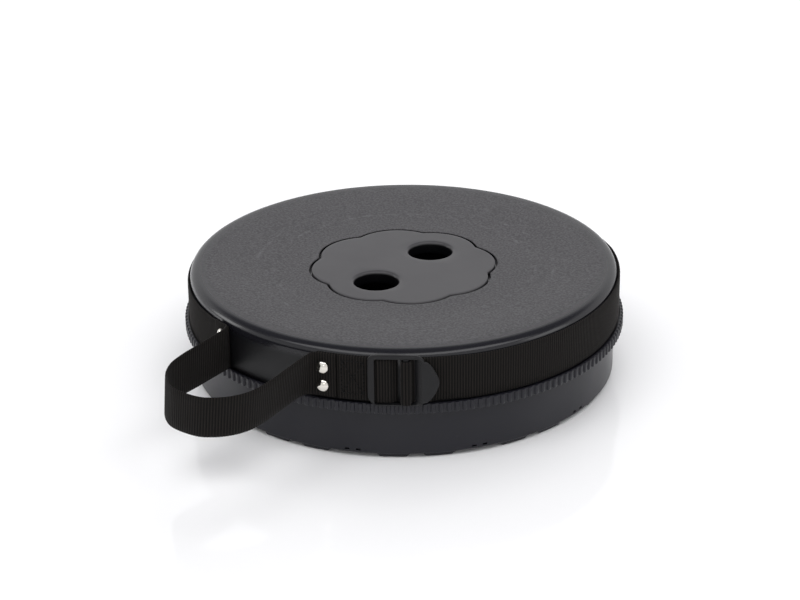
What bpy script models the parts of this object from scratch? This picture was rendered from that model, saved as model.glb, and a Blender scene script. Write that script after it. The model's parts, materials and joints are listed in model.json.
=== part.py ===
# Telescopic camping stool, shown collapsed, as an assembly of separate pieces.
# The origin is the centre of the base on the ground, +Z is up and the carrying handle points to -Y.
# Angles around the stool are measured in degrees from the handle (-Y) towards +X.

import math

import bmesh
import bpy

MM = 0.001

# Overall body: the seat's size sets the base, and the skirt covers the base as it stands on its flange
SEAT_RADIUS = 121.0 * MM
SEAT_HEIGHT = 62.9 * MM
SKIRT_HEIGHT = 29.1 * MM
SKIRT_OVERHANG = 1.1 * MM
FLANGE_REACH = 5.1 * MM
FLANGE_TOOTH_DEPTH = 2.7 * MM
FLANGE_TOOTH_COUNT = 190
FLANGE_TOOTH_SHARE = 0.6
TEETH_PER_FACET = 5
FLANGE_THICKNESS = 3.3 * MM
BASE_WALL = 3.3 * MM
SEAT_WALL = 2.8 * MM
SEAT_EDGE_RADIUS = 5.0 * MM
SEAT_INNER_EDGE_RADIUS = 4.4 * MM
SEAT_DISH_DEPTH = 3.3 * MM
SEAT_TOP_THICKNESS = 3.0 * MM
FIT_GAP = 0.3 * MM
# How far out on the dish and how much of its rise: two places between the cap and the edge
DISH_CURVE = ((0.4, 0.3), (0.8, 0.84))
SEAT_FACETS = 60
SEAT_EDGE_STEPS = 4
HOLE_FACETS = 20
SMALL_FACETS = 8
SHARP_ANGLE = 32

# Underside of the base
FOOT_HEIGHT = 1.8 * MM
FOOT_LENGTH = 17.3 * MM
FOOT_INSET = 1.6 * MM
FOOT_PAIR_COUNT = 11
FOOT_FIRST_ANGLE = -4.4
FOOT_ANGLE = 9.7
FOOT_PAIR_SPLIT = 2.2
FLOOR_THICKNESS = 2.2 * MM
CENTRE_BOSS_RADIUS = 20.0 * MM
FLOOR_GAP = 0.3 * MM

# Telescopic sections: number 0 is fixed in the base, the others rise out of it
RING_HEADROOM = 0.8 * MM
RING_WALL = 2.2 * MM
LUG_REACH = 2.0 * MM
RING_CLEARANCE = 0.4 * MM
LIP_THICKNESS = 2.5 * MM
LEDGE_THICKNESS = 2.5 * MM
LUG_HEIGHT = 6.0 * MM
LUG_COUNT = 4
LUG_HALF_ANGLE = 5.25
LOCK_TWIST = 12.0
STOP_ANGLE_GAP = 0.25
REST_STOP_ANGLE = 6.5
END_STOP_ANGLE = 1.5
FACET_ANGLE = 10.0

# Snap beads that hold section 0 in the base
BEAD_DROP = 7.2 * MM
BEAD_HEIGHT = 2.0 * MM
BEAD_DEPTH = 1.0 * MM

# Twist collar screwed under the seat
HUB_CLEARANCE = 0.5 * MM
HUB_FLANGE_WIDTH = 9.0 * MM
HUB_FLANGE_THICKNESS = 2.5 * MM
HUB_LUG_CLEARANCE = 0.3 * MM
HUB_SCREW_COUNT = 4
HUB_SCREW_FIRST_ANGLE = 45.0

# Lobed cap with two finger holes
CAP_TIP_RADIUS = 52.6 * MM
CAP_LOBE_DEPTH = 4.0 * MM
CAP_LOBES = 8
CAP_LOBE_STEPS = 6
CAP_GAP = 0.9 * MM
CAP_THICKNESS = 2.2 * MM
CAP_BOSS_RADIUS = 3.2 * MM
CAP_BOSS_DEPTH = 2.3 * MM
CAP_SCREW_INSET = 11.6 * MM
FINGER_HOLE_OFFSET = 26.0 * MM
FINGER_HOLE_RADIUS = 12.5 * MM
FINGER_LEAD_IN = 2.0 * MM
FINGER_COLLAR_WALL = 1.8 * MM
FINGER_COLLAR_DEPTH = 4.6 * MM
POCKET_WALL = 2.5 * MM
SEAT_CENTRE_THICKNESS = 4.5 * MM

# Screws
SCREW_RADIUS = 1.1 * MM
SCREW_POINT_RADIUS = 0.4 * MM
SCREW_HEAD_RADIUS = 2.5 * MM
SCREW_HEAD_FLAT_RADIUS = 1.7 * MM
SCREW_HEAD_HEIGHT = 1.5 * MM
SCREW_CLEARANCE = 0.25 * MM
SCREW_COVER = 0.9 * MM

# Webbing and rivets
WEB_WIDTH = 25.0 * MM
WEB_THICKNESS = 1.5 * MM
WEB_LIFT = 1.3 * MM
LAYER_GAP = 0.2 * MM
BELT_STANDOFF = 0.8 * MM
BELT_SETTLE_ANGLE = 6.0
BELT_STEPS = 52
RIVET_ANGLE = 16.0
RIVET_SPACING = 9.8 * MM
RIVET_HEAD_RADIUS = 3.3 * MM
RIVET_HEAD_HEIGHT = 2.0 * MM
RIVET_SHANK_RADIUS = 1.5 * MM
RIVET_TAIL_RADIUS = 2.6 * MM
RIVET_TAIL_HEIGHT = 0.7 * MM
RIVET_FACETS = 12
STRAP_END_ANGLE = 13.6
TAB_RETURN_ANGLE = 19.8

# Carrying handle: a loop whose ends lie on the skirt under the rivets
HANDLE_END_ANGLE = 19.2
HANDLE_LIFT_ANGLE = 14.3
HANDLE_FLARE = 1.4 * MM
HANDLE_BEND = 3.2 * MM
HANDLE_PINCH = 4.57 * MM
HANDLE_SWELL = 2.8 * MM
HANDLE_LENGTH = 66.0 * MM
HANDLE_LEAN = 0.2

# Buckle, placed along its tangent and out from the skirt
BUCKLE_ANGLE = 36.0
BUCKLE_LOWER_RAIL = 1.0 * MM
BUCKLE_UPPER_RAIL = 2.2 * MM
BUCKLE_FRONT = 7.0 * MM
BUCKLE_PLATE = 2.8 * MM
BUCKLE_WEB_CLEARANCE = 0.2 * MM
BUCKLE_LEFT = -18.7 * MM
BUCKLE_LEFT_BAR = 3.5 * MM
ANCHOR_BAR_PLACE = -9.8 * MM
ANCHOR_BAR_DEPTH = 3.0 * MM
ANCHOR_BAR_WIDTH = 5.9 * MM
ANCHOR_BAR_THICKNESS = 1.6 * MM
LADDER_BAR_PLACE = 1.2 * MM
LADDER_BAR_DEPTH = 5.6 * MM
LADDER_BAR_WIDTH = 2.9 * MM
LADDER_BAR_THICKNESS = 2.0 * MM
RIGHT_BAR_PLACE = 6.8 * MM
RIGHT_BAR_WIDTH = 4.0 * MM
LIFT_TAB_REACH = 7.9 * MM
LIFT_TAB_THICKNESS = 1.8 * MM
LIFT_TAB_SHOULDER = 0.6 * MM
LIFT_TAB_INSET = 1.2 * MM
RAIL_FOOT = 1.0 * MM
BAR_STEP = 0.1 * MM
TILT_AXIS_INSET = 1.7 * MM
TILT_AXIS_DEPTH = 2.3 * MM
BELT_SPLIT_INSET = 3.7 * MM
ANCHOR_RISE = 1.7 * MM
LADDER_RISE = 2.5 * MM
CORNER_STEP = 0.4

# Derived heights
FLOOR_LOW = FOOT_HEIGHT
FLOOR_TOP = FLOOR_LOW + FLOOR_THICKNESS
RING_LOW = FLOOR_TOP + FLOOR_GAP
SKIRT_LOW = SEAT_HEIGHT - SKIRT_HEIGHT
FLANGE_TOP = SKIRT_LOW - FIT_GAP
FLANGE_LOW = FLANGE_TOP - FLANGE_THICKNESS
BASE_WALL_TOP = FLANGE_TOP - FIT_GAP
BEAD_LOW = BASE_WALL_TOP - BEAD_DROP
SEAT_CENTRE_TOP = SEAT_HEIGHT - SEAT_DISH_DEPTH
CAP_LOW = SEAT_CENTRE_TOP - CAP_THICKNESS
POCKET_FLOOR = CAP_LOW - FIT_GAP
SEAT_CENTRE_LOW = POCKET_FLOOR - SEAT_CENTRE_THICKNESS
SEAT_UNDERSIDE = SEAT_CENTRE_TOP - SEAT_TOP_THICKNESS
HUB_TOP = SEAT_UNDERSIDE - FIT_GAP
RING_TOP = SEAT_UNDERSIDE - RING_HEADROOM
LIP_LOW = RING_TOP - LIP_THICKNESS
RISE = LIP_LOW - FIT_GAP - LUG_HEIGHT - RING_LOW
LEDGE_TOP = RING_LOW + RISE - FIT_GAP
LEDGE_LOW = LEDGE_TOP - LEDGE_THICKNESS
WEB_LOW = SKIRT_LOW + WEB_LIFT
WEB_HIGH = WEB_LOW + WEB_WIDTH
STRAP_HEIGHT = (WEB_LOW + WEB_HIGH) / 2
BUCKLE_LOW = WEB_LOW - BUCKLE_WEB_CLEARANCE - BUCKLE_LOWER_RAIL
BUCKLE_HIGH = WEB_HIGH + BUCKLE_WEB_CLEARANCE + BUCKLE_UPPER_RAIL

# Derived radii and places
BASE_RADIUS = SEAT_RADIUS - SKIRT_OVERHANG
BASE_INNER_RADIUS = BASE_RADIUS - BASE_WALL
FLANGE_RADIUS = BASE_RADIUS + FLANGE_REACH
FOOT_OUTER_RADIUS = BASE_RADIUS - FOOT_INSET
FOOT_INNER_RADIUS = FOOT_OUTER_RADIUS - FOOT_LENGTH
SEAT_INNER_RADIUS = SEAT_RADIUS - SEAT_WALL
CAP_CUSP_RADIUS = CAP_TIP_RADIUS - CAP_LOBE_DEPTH
SEAT_CENTRE_RADIUS = CAP_TIP_RADIUS + CAP_GAP + POCKET_WALL
TAB_INNER = SEAT_RADIUS + FIT_GAP
OUTER_LAYER_INNER = TAB_INNER + WEB_THICKNESS + LAYER_GAP
HANDLE_LAYER_RADIUS = OUTER_LAYER_INNER + WEB_THICKNESS / 2
HANDLE_ROOT_HALF_WIDTH = HANDLE_LAYER_RADIUS * math.sin(math.radians(HANDLE_LIFT_ANGLE)) - HANDLE_PINCH
HANDLE_HALF_WIDTH = HANDLE_ROOT_HALF_WIDTH + HANDLE_SWELL
HANDLE_REACH = SEAT_RADIUS + HANDLE_LENGTH
LIFT_TAB_START = RIGHT_BAR_PLACE + RIGHT_BAR_WIDTH
LIFT_TAB_END = LIFT_TAB_START + LIFT_TAB_REACH
TILT_AXIS_PLACE = BUCKLE_LEFT + TILT_AXIS_INSET
BELT_SPLIT_PLACE = LIFT_TAB_END - BELT_SPLIT_INSET

# As many sections as fit between the base's wall and the middle of the seat
SECTION_PITCH = RING_WALL + LUG_REACH + RING_CLEARANCE
FIRST_SECTION_RADIUS = BASE_INNER_RADIUS - RING_CLEARANCE
HUB_SPACE = HUB_FLANGE_WIDTH + 2 * RING_WALL + HUB_CLEARANCE + LUG_REACH
SMALLEST_SECTION_RADIUS = SEAT_CENTRE_RADIUS + FIT_GAP + HUB_SPACE
MOVING_RINGS = int((FIRST_SECTION_RADIUS - SMALLEST_SECTION_RADIUS) / SECTION_PITCH)

MATERIALS = {
    "grained_seat": ("3A3B3E", 0.62, 0.0),
    "satin_shell": ("17181C", 0.38, 0.0),
    "smooth_cap": ("2A2B2E", 0.34, 0.0),
    "ring_plastic": ("1B1C1F", 0.45, 0.0),
    "webbing": ("12110F", 0.85, 0.0),
    "buckle_plastic": ("1E1E20", 0.55, 0.0),
    "nickel": ("C9C5BC", 0.22, 1.0),
    "zinc_steel": ("9A9C9E", 0.35, 1.0),
}


def linear(channel):
    """Linear value of one sRGB channel between 0 and 1."""
    if channel <= 0.04045:
        return channel / 12.92
    return ((channel + 0.055) / 1.055) ** 2.4


def make_material(name):
    """Principled material with the colour, roughness and metallic value of one finish."""
    colour, roughness, metallic = MATERIALS[name]
    material = bpy.data.materials.new(name)
    material.use_nodes = True
    shader = material.node_tree.nodes["Principled BSDF"]
    parts = [linear(int(colour[i : i + 2], 16) / 255) for i in (0, 2, 4)]
    shader.inputs["Base Color"].default_value = (*parts, 1.0)
    shader.inputs["Roughness"].default_value = roughness
    shader.inputs["Metallic"].default_value = metallic
    return material


def polar(radius, angle):
    """Point in plan at this radius and angle from the handle towards +X."""
    turn = math.radians(angle)
    return (radius * math.sin(turn), -radius * math.cos(turn))


def at_buckle(along, out):
    """Point in plan given along the buckle's tangent and out from the skirt."""
    turn = math.radians(BUCKLE_ANGLE)
    x, y = polar(SEAT_RADIUS + out, BUCKLE_ANGLE)
    return (x + along * math.cos(turn), y + along * math.sin(turn))


def new_object(name, points, faces, finish, origin=(0.0, 0.0, 0.0), turn=0.0):
    """Closed mesh object, its points given in the stool's frame and kept about its own origin."""
    cosine = math.cos(-turn)
    sine = math.sin(-turn)
    local = []
    for x, y, z in points:
        dx = x - origin[0]
        dy = y - origin[1]
        local.append((dx * cosine - dy * sine, dx * sine + dy * cosine, z - origin[2]))
    mesh = bpy.data.meshes.new(name)
    mesh.from_pydata(local, [], faces)
    work = bmesh.new()
    work.from_mesh(mesh)
    bmesh.ops.recalc_face_normals(work, faces=work.faces)
    work.to_mesh(mesh)
    work.free()
    mesh.shade_smooth()
    mesh.set_sharp_from_angle(angle=math.radians(SHARP_ANGLE))
    made = bpy.data.objects.new(name, mesh)
    bpy.context.scene.collection.objects.link(made)
    made.location = origin
    made.rotation_euler = (0.0, 0.0, turn)
    mesh.materials.append(FINISHES[finish])
    return made


def polar_solid(name, radii, levels, angles, filled, finish, origin=(0.0, 0.0, 0.0)):
    """Solid made of the filled cells of a grid of radii, levels and angles."""
    rings = len(radii) - 1
    storeys = len(levels) - 1
    sectors = len(angles)
    points = []
    number = {}
    faces = []

    def point(i, j, k):
        k = 0 if radii[i] == 0.0 else k % sectors
        key = (i, j, k)
        if key not in number:
            number[key] = len(points)
            points.append((*polar(radii[i], angles[k]), levels[j]))
        return number[key]

    def middle(k):
        end = angles[k + 1] if k + 1 < sectors else angles[0] + 360.0
        return (angles[k] + end) / 2

    def solid(i, j, k):
        if not (0 <= i < rings and 0 <= j < storeys):
            return False
        return filled(i, j, middle(k % sectors))

    def add(*corners):
        face = list(dict.fromkeys(corners))
        if len(face) > 2:
            faces.append(face)

    for i in range(rings):
        for j in range(storeys):
            for k in range(sectors):
                if not solid(i, j, k):
                    continue
                if not solid(i - 1, j, k) and radii[i] > 0.0:
                    add(point(i, j, k), point(i, j + 1, k), point(i, j + 1, k + 1), point(i, j, k + 1))
                if not solid(i + 1, j, k):
                    add(
                        point(i + 1, j, k),
                        point(i + 1, j, k + 1),
                        point(i + 1, j + 1, k + 1),
                        point(i + 1, j + 1, k),
                    )
                if not solid(i, j - 1, k):
                    add(point(i, j, k), point(i, j, k + 1), point(i + 1, j, k + 1), point(i + 1, j, k))
                if not solid(i, j + 1, k):
                    add(
                        point(i, j + 1, k),
                        point(i + 1, j + 1, k),
                        point(i + 1, j + 1, k + 1),
                        point(i, j + 1, k + 1),
                    )
                if not solid(i, j, k - 1):
                    add(point(i, j, k), point(i + 1, j, k), point(i + 1, j + 1, k), point(i, j + 1, k))
                if not solid(i, j, k + 1):
                    add(
                        point(i, j, k + 1),
                        point(i, j + 1, k + 1),
                        point(i + 1, j + 1, k + 1),
                        point(i + 1, j, k + 1),
                    )
    return new_object(name, points, faces, finish, origin)


def turned(name, profile, segments, finish, origin=(0.0, 0.0, 0.0)):
    """Solid turned about its own upright axis from (radius, height) points; level ends are flat discs."""
    points = []
    faces = []
    rings = []
    last = len(profile) - 1
    for i, (radius, height) in enumerate(profile):
        if radius > 0.0:
            rings.append([len(points) + k for k in range(segments)])
            for k in range(segments):
                x, y = polar(radius, 360.0 * k / segments)
                points.append((origin[0] + x, origin[1] + y, origin[2] + height))
            continue
        level = profile[1][1] if i == 0 else profile[last - 1][1]
        rings.append(None if height == level else [len(points)] * segments)
        if height != level:
            points.append((origin[0], origin[1], origin[2] + height))
    for i in range(len(profile)):
        first = rings[i]
        second = rings[(i + 1) % len(profile)]
        if first is None or second is None:
            if first or second:
                faces.append(first or second)
            continue
        if first[0] == first[1] and second[0] == second[1]:
            continue
        for k in range(segments):
            n = (k + 1) % segments
            faces.append(list(dict.fromkeys((first[k], second[k], second[n], first[n]))))
    return new_object(name, points, faces, finish, origin)


def prism(name, outline, low, high, finish):
    """Upright prism over a plan outline."""
    count = len(outline)
    points = [(x, y, low) for x, y in outline]
    points += [(x, y, high) for x, y in outline]
    faces = [list(range(count)), list(range(count, 2 * count))]
    for i in range(count):
        j = (i + 1) % count
        faces.append([i, j, j + count, i + count])
    return new_object(name, points, faces, finish)


def apply_boolean(target, others, operation):
    """Applies an exact Boolean with each of the other objects, which are then removed."""
    for other in others:
        modifier = target.modifiers.new(operation, "BOOLEAN")
        modifier.operation = operation
        modifier.solver = "EXACT"
        modifier.object = other
        bpy.context.view_layer.update()
        graph = bpy.context.evaluated_depsgraph_get()
        mesh = bpy.data.meshes.new_from_object(target.evaluated_get(graph))
        target.modifiers.clear()
        target.data = mesh
        bpy.data.objects.remove(other)
    target.data.name = target.name
    target.data.shade_smooth()
    target.data.set_sharp_from_angle(angle=math.radians(SHARP_ANGLE))
    return target


def smooth_path(points, steps):
    """Points on a smooth curve through the given ones, as a Catmull-Rom spline."""
    made = []
    last = len(points) - 1
    for i in range(last):
        before = points[max(i - 1, 0)]
        start = points[i]
        end = points[i + 1]
        after = points[min(i + 2, last)]
        for step in range(steps):
            t = step / steps
            made.append(
                tuple(
                    0.5
                    * (
                        2 * b
                        + (c - a) * t
                        + (2 * a - 5 * b + 4 * c - d) * t * t
                        + (3 * b - a - 3 * c + d) * t * t * t
                    )
                    for a, b, c, d in zip(before, start, end, after)
                )
            )
    made.append(points[last])
    return made


def ribbon(name, path, finish, origin=(0.0, 0.0, 0.0), turn=0.0):
    """Webbing on edge along a plan path; a third value of each point leans its top outwards."""
    points = []
    faces = []
    last = len(path) - 1
    for i, place in enumerate(path):
        x, y = place[:2]
        lean = place[2] if len(place) > 2 else 0.0
        ahead = path[min(i + 1, last)]
        behind = path[max(i - 1, 0)]
        dx = ahead[0] - behind[0]
        dy = ahead[1] - behind[1]
        length = math.hypot(dx, dy)
        nx = dy / length
        ny = -dx / length
        for side in (-0.5, 0.5):
            for height in (WEB_LOW, WEB_HIGH):
                shift = side * WEB_THICKNESS - lean * (height - STRAP_HEIGHT)
                points.append((x + nx * shift, y + ny * shift, height))
    corners = (0, 1, 3, 2)
    faces.append(list(corners))
    for i in range(last):
        for a, b in zip(corners, corners[1:] + corners[:1]):
            faces.append([4 * i + a, 4 * i + b, 4 * i + 4 + b, 4 * i + 4 + a])
    faces.append([4 * last + c for c in corners])
    return new_object(name, points, faces, finish, origin, turn)


def offset_in_period(angle, centre):
    """Angle from the nearest lug centre, between minus and plus half a period."""
    period = 360.0 / LUG_COUNT
    return (angle - centre + period / 2) % period - period / 2


def section_angles():
    """Facet angles of a section: the edges of its lugs, ledges and stops, with even steps between."""
    period = 360.0 / LUG_COUNT
    edges = [
        -LOCK_TWIST - LUG_HALF_ANGLE - END_STOP_ANGLE,
        -LOCK_TWIST - LUG_HALF_ANGLE,
        -LOCK_TWIST + LUG_HALF_ANGLE,
        -LUG_HALF_ANGLE,
        LUG_HALF_ANGLE,
        LUG_HALF_ANGLE + STOP_ANGLE_GAP,
        LUG_HALF_ANGLE + STOP_ANGLE_GAP + REST_STOP_ANGLE,
    ]
    rest = period + edges[0] - edges[-1]
    steps = math.ceil(rest / FACET_ANGLE)
    edges += [edges[-1] + rest * (i + 1) / steps for i in range(steps - 1)]
    return [edge + period * i for i in range(LUG_COUNT) for edge in edges]


def in_lug(angle):
    """Whether the angle falls on a lug."""
    return abs(offset_in_period(angle, 0.0)) < LUG_HALF_ANGLE


def in_ledge(angle):
    """Whether the angle falls on a ledge, one lock twist away from the lugs."""
    return abs(offset_in_period(angle, -LOCK_TWIST)) < LUG_HALF_ANGLE


def in_stop(angle):
    """Blocks on both sides of a lug's travel: beside its rest and past its ledge."""
    place = offset_in_period(angle, 0.0)
    start = LUG_HALF_ANGLE + STOP_ANGLE_GAP
    at_rest = start < place < start + REST_STOP_ANGLE
    end = -LOCK_TWIST - LUG_HALF_ANGLE
    return at_rest or end - END_STOP_ANGLE < place < end


def section_radius(number):
    """Outer radius of a telescopic section."""
    return FIRST_SECTION_RADIUS - number * SECTION_PITCH


def make_base_ring():
    """Section 0, fixed in the base by four beads that snap into notches of its wall."""
    outer = section_radius(0)
    inner = outer - RING_WALL
    notch = outer - BEAD_DEPTH
    radii = [inner - LUG_REACH, inner, notch, outer]
    notch_low = BEAD_LOW - FIT_GAP
    notch_high = BEAD_LOW + BEAD_HEIGHT + FIT_GAP
    levels = [RING_LOW, notch_low, notch_high, LEDGE_LOW, LEDGE_TOP, LIP_LOW, RING_TOP]

    def filled(ring, storey, angle):
        if ring == 0:
            ledge = storey == 3 and in_ledge(angle)
            stop = storey in (3, 4) and in_stop(angle)
            return storey == 5 or ledge or stop
        if ring == 2:
            return not (storey == 1 and in_lug(angle))
        return True

    return polar_solid("base_ring", radii, levels, section_angles(), filled, "ring_plastic")


def make_moving_ring(number):
    """Section that rises: lugs outside at the bottom, a lip, ledges and stops inside at the top."""
    outer = section_radius(number)
    inner = outer - RING_WALL
    radii = [inner - LUG_REACH, inner, outer, outer + LUG_REACH]
    levels = [RING_LOW, RING_LOW + LUG_HEIGHT, LEDGE_LOW, LEDGE_TOP, LIP_LOW, RING_TOP]

    def filled(ring, storey, angle):
        if ring == 0:
            ledge = storey == 2 and in_ledge(angle)
            stop = storey in (2, 3) and in_stop(angle)
            return storey == 4 or ledge or stop
        if ring == 2:
            return storey == 0 and in_lug(angle)
        return True

    name = "telescopic_ring_%d" % number
    return polar_solid(name, radii, levels, section_angles(), filled, "ring_plastic", (0.0, 0.0, RING_LOW))


def hub_radii():
    """Flange, inner, outer and lug radius of the twist collar."""
    lip = section_radius(MOVING_RINGS) - RING_WALL - LUG_REACH
    outer = lip - HUB_CLEARANCE
    inner = outer - RING_WALL
    lug = section_radius(MOVING_RINGS) - RING_WALL - RING_CLEARANCE
    return [inner - HUB_FLANGE_WIDTH, inner, outer, lug]


def hub_screw_places():
    """Plan points of the screws midway across the collar's flange."""
    flange, inner = hub_radii()[:2]
    pitch = 360.0 / HUB_SCREW_COUNT
    middle = (flange + inner) / 2
    return [polar(middle, HUB_SCREW_FIRST_ANGLE + pitch * i) for i in range(HUB_SCREW_COUNT)]


def cap_screw_places():
    """Plan points of the four screws that hold the cap."""
    return [polar(CAP_TIP_RADIUS - CAP_SCREW_INSET, angle) for angle in (135.0, 225.0, 315.0, 45.0)]


def screw_hole(place, low, high):
    """Cutter for the clearance hole of a screw."""
    radius = SCREW_RADIUS + SCREW_CLEARANCE
    outline = [(radius, low), (0.0, low), (0.0, high), (radius, high)]
    return turned("hole", outline, SMALL_FACETS, "ring_plastic", (place[0], place[1], 0.0))


def make_hub():
    """Collar under the seat whose lugs turn under the lip of the innermost ring."""
    radii = hub_radii()
    lug_top = LIP_LOW - HUB_LUG_CLEARANCE
    levels = [lug_top - LUG_HEIGHT, lug_top, HUB_TOP - HUB_FLANGE_THICKNESS, HUB_TOP]

    def filled(ring, storey, angle):
        if ring == 0:
            return storey == 2
        if ring == 2:
            return storey == 0 and in_lug(angle)
        return True

    hub = polar_solid("seat_hub", radii, levels, section_angles(), filled, "ring_plastic")
    low = levels[2] - FIT_GAP
    holes = [screw_hole(place, low, HUB_TOP + FIT_GAP) for place in hub_screw_places()]
    return apply_boolean(hub, holes, "DIFFERENCE")


def make_screw(name, place, head_low, tip):
    """Pan-head screw that points up, its head seated at head_low plus its height."""
    neck = head_low + SCREW_HEAD_HEIGHT
    profile = [
        (0.0, tip),
        (SCREW_POINT_RADIUS, tip),
        (SCREW_RADIUS, tip - SCREW_RADIUS),
        (SCREW_RADIUS, neck),
        (SCREW_HEAD_RADIUS, neck),
        (SCREW_HEAD_RADIUS, head_low + SCREW_HEAD_HEIGHT / 2),
        (SCREW_HEAD_FLAT_RADIUS, head_low),
        (0.0, head_low),
    ]
    lifted = [(radius, height - head_low) for radius, height in profile]
    return turned(name, lifted, SMALL_FACETS, "zinc_steel", (place[0], place[1], head_low))


def foot_edges():
    """Start and end angle of each foot."""
    made = []
    for pair in range(FOOT_PAIR_COUNT):
        start = FOOT_FIRST_ANGLE + 360.0 * pair / FOOT_PAIR_COUNT
        for foot in range(2):
            low = start + foot * (FOOT_ANGLE + FOOT_PAIR_SPLIT)
            made.append((low, low + FOOT_ANGLE))
    return made


def make_base_pan():
    """Base with its wall, feet, central boss and the toothed flange that the hand grips."""
    feet = foot_edges()
    bead_half = LUG_HALF_ANGLE - STOP_ANGLE_GAP
    beads = [360.0 * i / LUG_COUNT for i in range(LUG_COUNT)]
    edges = [edge for foot in feet for edge in foot]
    edges += [(low + high) / 2 for low, high in feet]
    wide_gap = 360.0 / FOOT_PAIR_COUNT - 2 * FOOT_ANGLE - FOOT_PAIR_SPLIT
    edges += [high + wide_gap / 2 for low, high in feet[1::2]]
    edges += [bead + side * bead_half for bead in beads for side in (-1, 1)]
    angles = sorted({round(edge % 360.0, 4) for edge in edges})
    bead_inner = section_radius(0) - BEAD_DEPTH + FIT_GAP
    radii = [0.0, CENTRE_BOSS_RADIUS, FOOT_INNER_RADIUS, bead_inner, BASE_INNER_RADIUS]
    radii += [FOOT_OUTER_RADIUS, BASE_RADIUS]
    levels = [0.0, FLOOR_LOW, FLOOR_TOP, BEAD_LOW, BEAD_LOW + BEAD_HEIGHT, BASE_WALL_TOP]

    def filled(ring, storey, angle):
        if storey == 0:
            near = any((angle - low) % 360.0 < high - low for low, high in feet)
            return ring == 0 or (near and 2 <= ring <= 4)
        if storey == 1:
            return True
        bead = ring == 3 and storey == 3 and abs(offset_in_period(angle, 0.0)) < bead_half
        return ring >= 4 or bead

    pan = polar_solid("base_pan", radii, levels, angles, filled, "satin_shell")
    return apply_boolean(pan, [make_toothed_flange()], "UNION")


def make_toothed_flange():
    """Flat ring with square teeth around it, sunk into the wall of the base."""
    facets = FLANGE_TOOTH_COUNT // TEETH_PER_FACET
    pitch = 360.0 / (facets * TEETH_PER_FACET)
    half = FLANGE_TOOTH_SHARE * pitch / 2
    tip = FLANGE_RADIUS
    root = tip - FLANGE_TOOTH_DEPTH
    corners = [(root, -half), (tip, -half), (tip, half), (root, half)]
    rim = 4 * TEETH_PER_FACET * facets
    storey = rim + facets
    points = []
    for height in (FLANGE_LOW, FLANGE_TOP):
        for tooth in range(facets * TEETH_PER_FACET):
            points += [(*polar(radius, pitch * tooth + swing), height) for radius, swing in corners]
        for k in range(facets):
            inside = polar(BASE_INNER_RADIUS + BASE_WALL / 3, 360.0 * k / facets - pitch / 2)
            points.append((*inside, height))
    faces = []
    for k in range(rim):
        n = (k + 1) % rim
        faces.append([k, n, storey + n, storey + k])
    for k in range(facets):
        n = (k + 1) % facets
        faces.append([rim + k, storey + rim + k, storey + rim + n, rim + n])
        edge = [(4 * TEETH_PER_FACET * k + i) % rim for i in range(4 * TEETH_PER_FACET + 1)]
        faces.append(edge + [rim + n, rim + k])
        faces.append([storey + i for i in edge] + [storey + rim + n, storey + rim + k])
    return new_object("flange", points, faces, "satin_shell")


def lobed_outline(grow):
    """Plan outline of eight shallow lobes, each an arc between two cusps, grown outwards."""
    half = math.pi / CAP_LOBES
    cusp_x = CAP_CUSP_RADIUS * math.sin(half)
    cusp_y = CAP_CUSP_RADIUS * math.cos(half)
    bulge = CAP_TIP_RADIUS - cusp_y
    arc = (cusp_x * cusp_x + bulge * bulge) / (2 * bulge)
    centre = CAP_TIP_RADIUS - arc
    reach = math.asin(cusp_x / arc)
    outline = []
    for lobe in range(CAP_LOBES):
        for i in range(CAP_LOBE_STEPS):
            swing = reach * (2 * (i + 0.5) / CAP_LOBE_STEPS - 1)
            x = (arc + grow) * math.sin(swing)
            y = centre + (arc + grow) * math.cos(swing)
            angle = 360.0 * lobe / CAP_LOBES + math.degrees(math.atan2(x, y))
            outline.append(polar(math.hypot(x, y), angle))
    return outline


def make_cap():
    """Lobed cap set in the seat, with a collar down through the seat around each finger hole."""
    cap = prism("center_cap", lobed_outline(0.0), CAP_LOW, SEAT_CENTRE_TOP, "smooth_cap")
    added = []
    cut = []
    collar_low = CAP_LOW - FINGER_COLLAR_DEPTH
    inside = FINGER_HOLE_RADIUS
    outside = inside + FINGER_COLLAR_WALL
    sunk = CAP_LOW + CAP_THICKNESS / 2
    for side in (-1, 1):
        origin = (0.0, side * FINGER_HOLE_OFFSET, 0.0)
        collar = [(0.0, sunk), (outside, sunk), (outside, collar_low), (0.0, collar_low)]
        added.append(turned("collar", collar, HOLE_FACETS, "smooth_cap", origin))
        rim = SEAT_CENTRE_TOP + FIT_GAP
        lead = FINGER_LEAD_IN
        bore = [(0.0, rim), (inside + lead + FIT_GAP, rim)]
        for swing in (0.0, math.pi / 4, math.pi / 2):
            radius = inside + lead * (1 - math.sin(swing))
            bore.append((radius, SEAT_CENTRE_TOP - lead * (1 - math.cos(swing))))
        bore += [(inside, collar_low - FIT_GAP), (0.0, collar_low - FIT_GAP)]
        cut.append(turned("bore", bore, HOLE_FACETS, "smooth_cap", origin))
    boss_low = CAP_LOW - CAP_BOSS_DEPTH
    boss = [(0.0, sunk), (CAP_BOSS_RADIUS, sunk), (CAP_BOSS_RADIUS, boss_low), (0.0, boss_low)]
    for x, y in cap_screw_places():
        added.append(turned("boss", boss, SMALL_FACETS, "smooth_cap", (x, y, 0.0)))
        cut.append(screw_hole((x, y), boss_low - FIT_GAP, SEAT_CENTRE_TOP - SCREW_COVER))
    apply_boolean(cap, added, "UNION")
    return apply_boolean(cap, cut, "DIFFERENCE")


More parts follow.
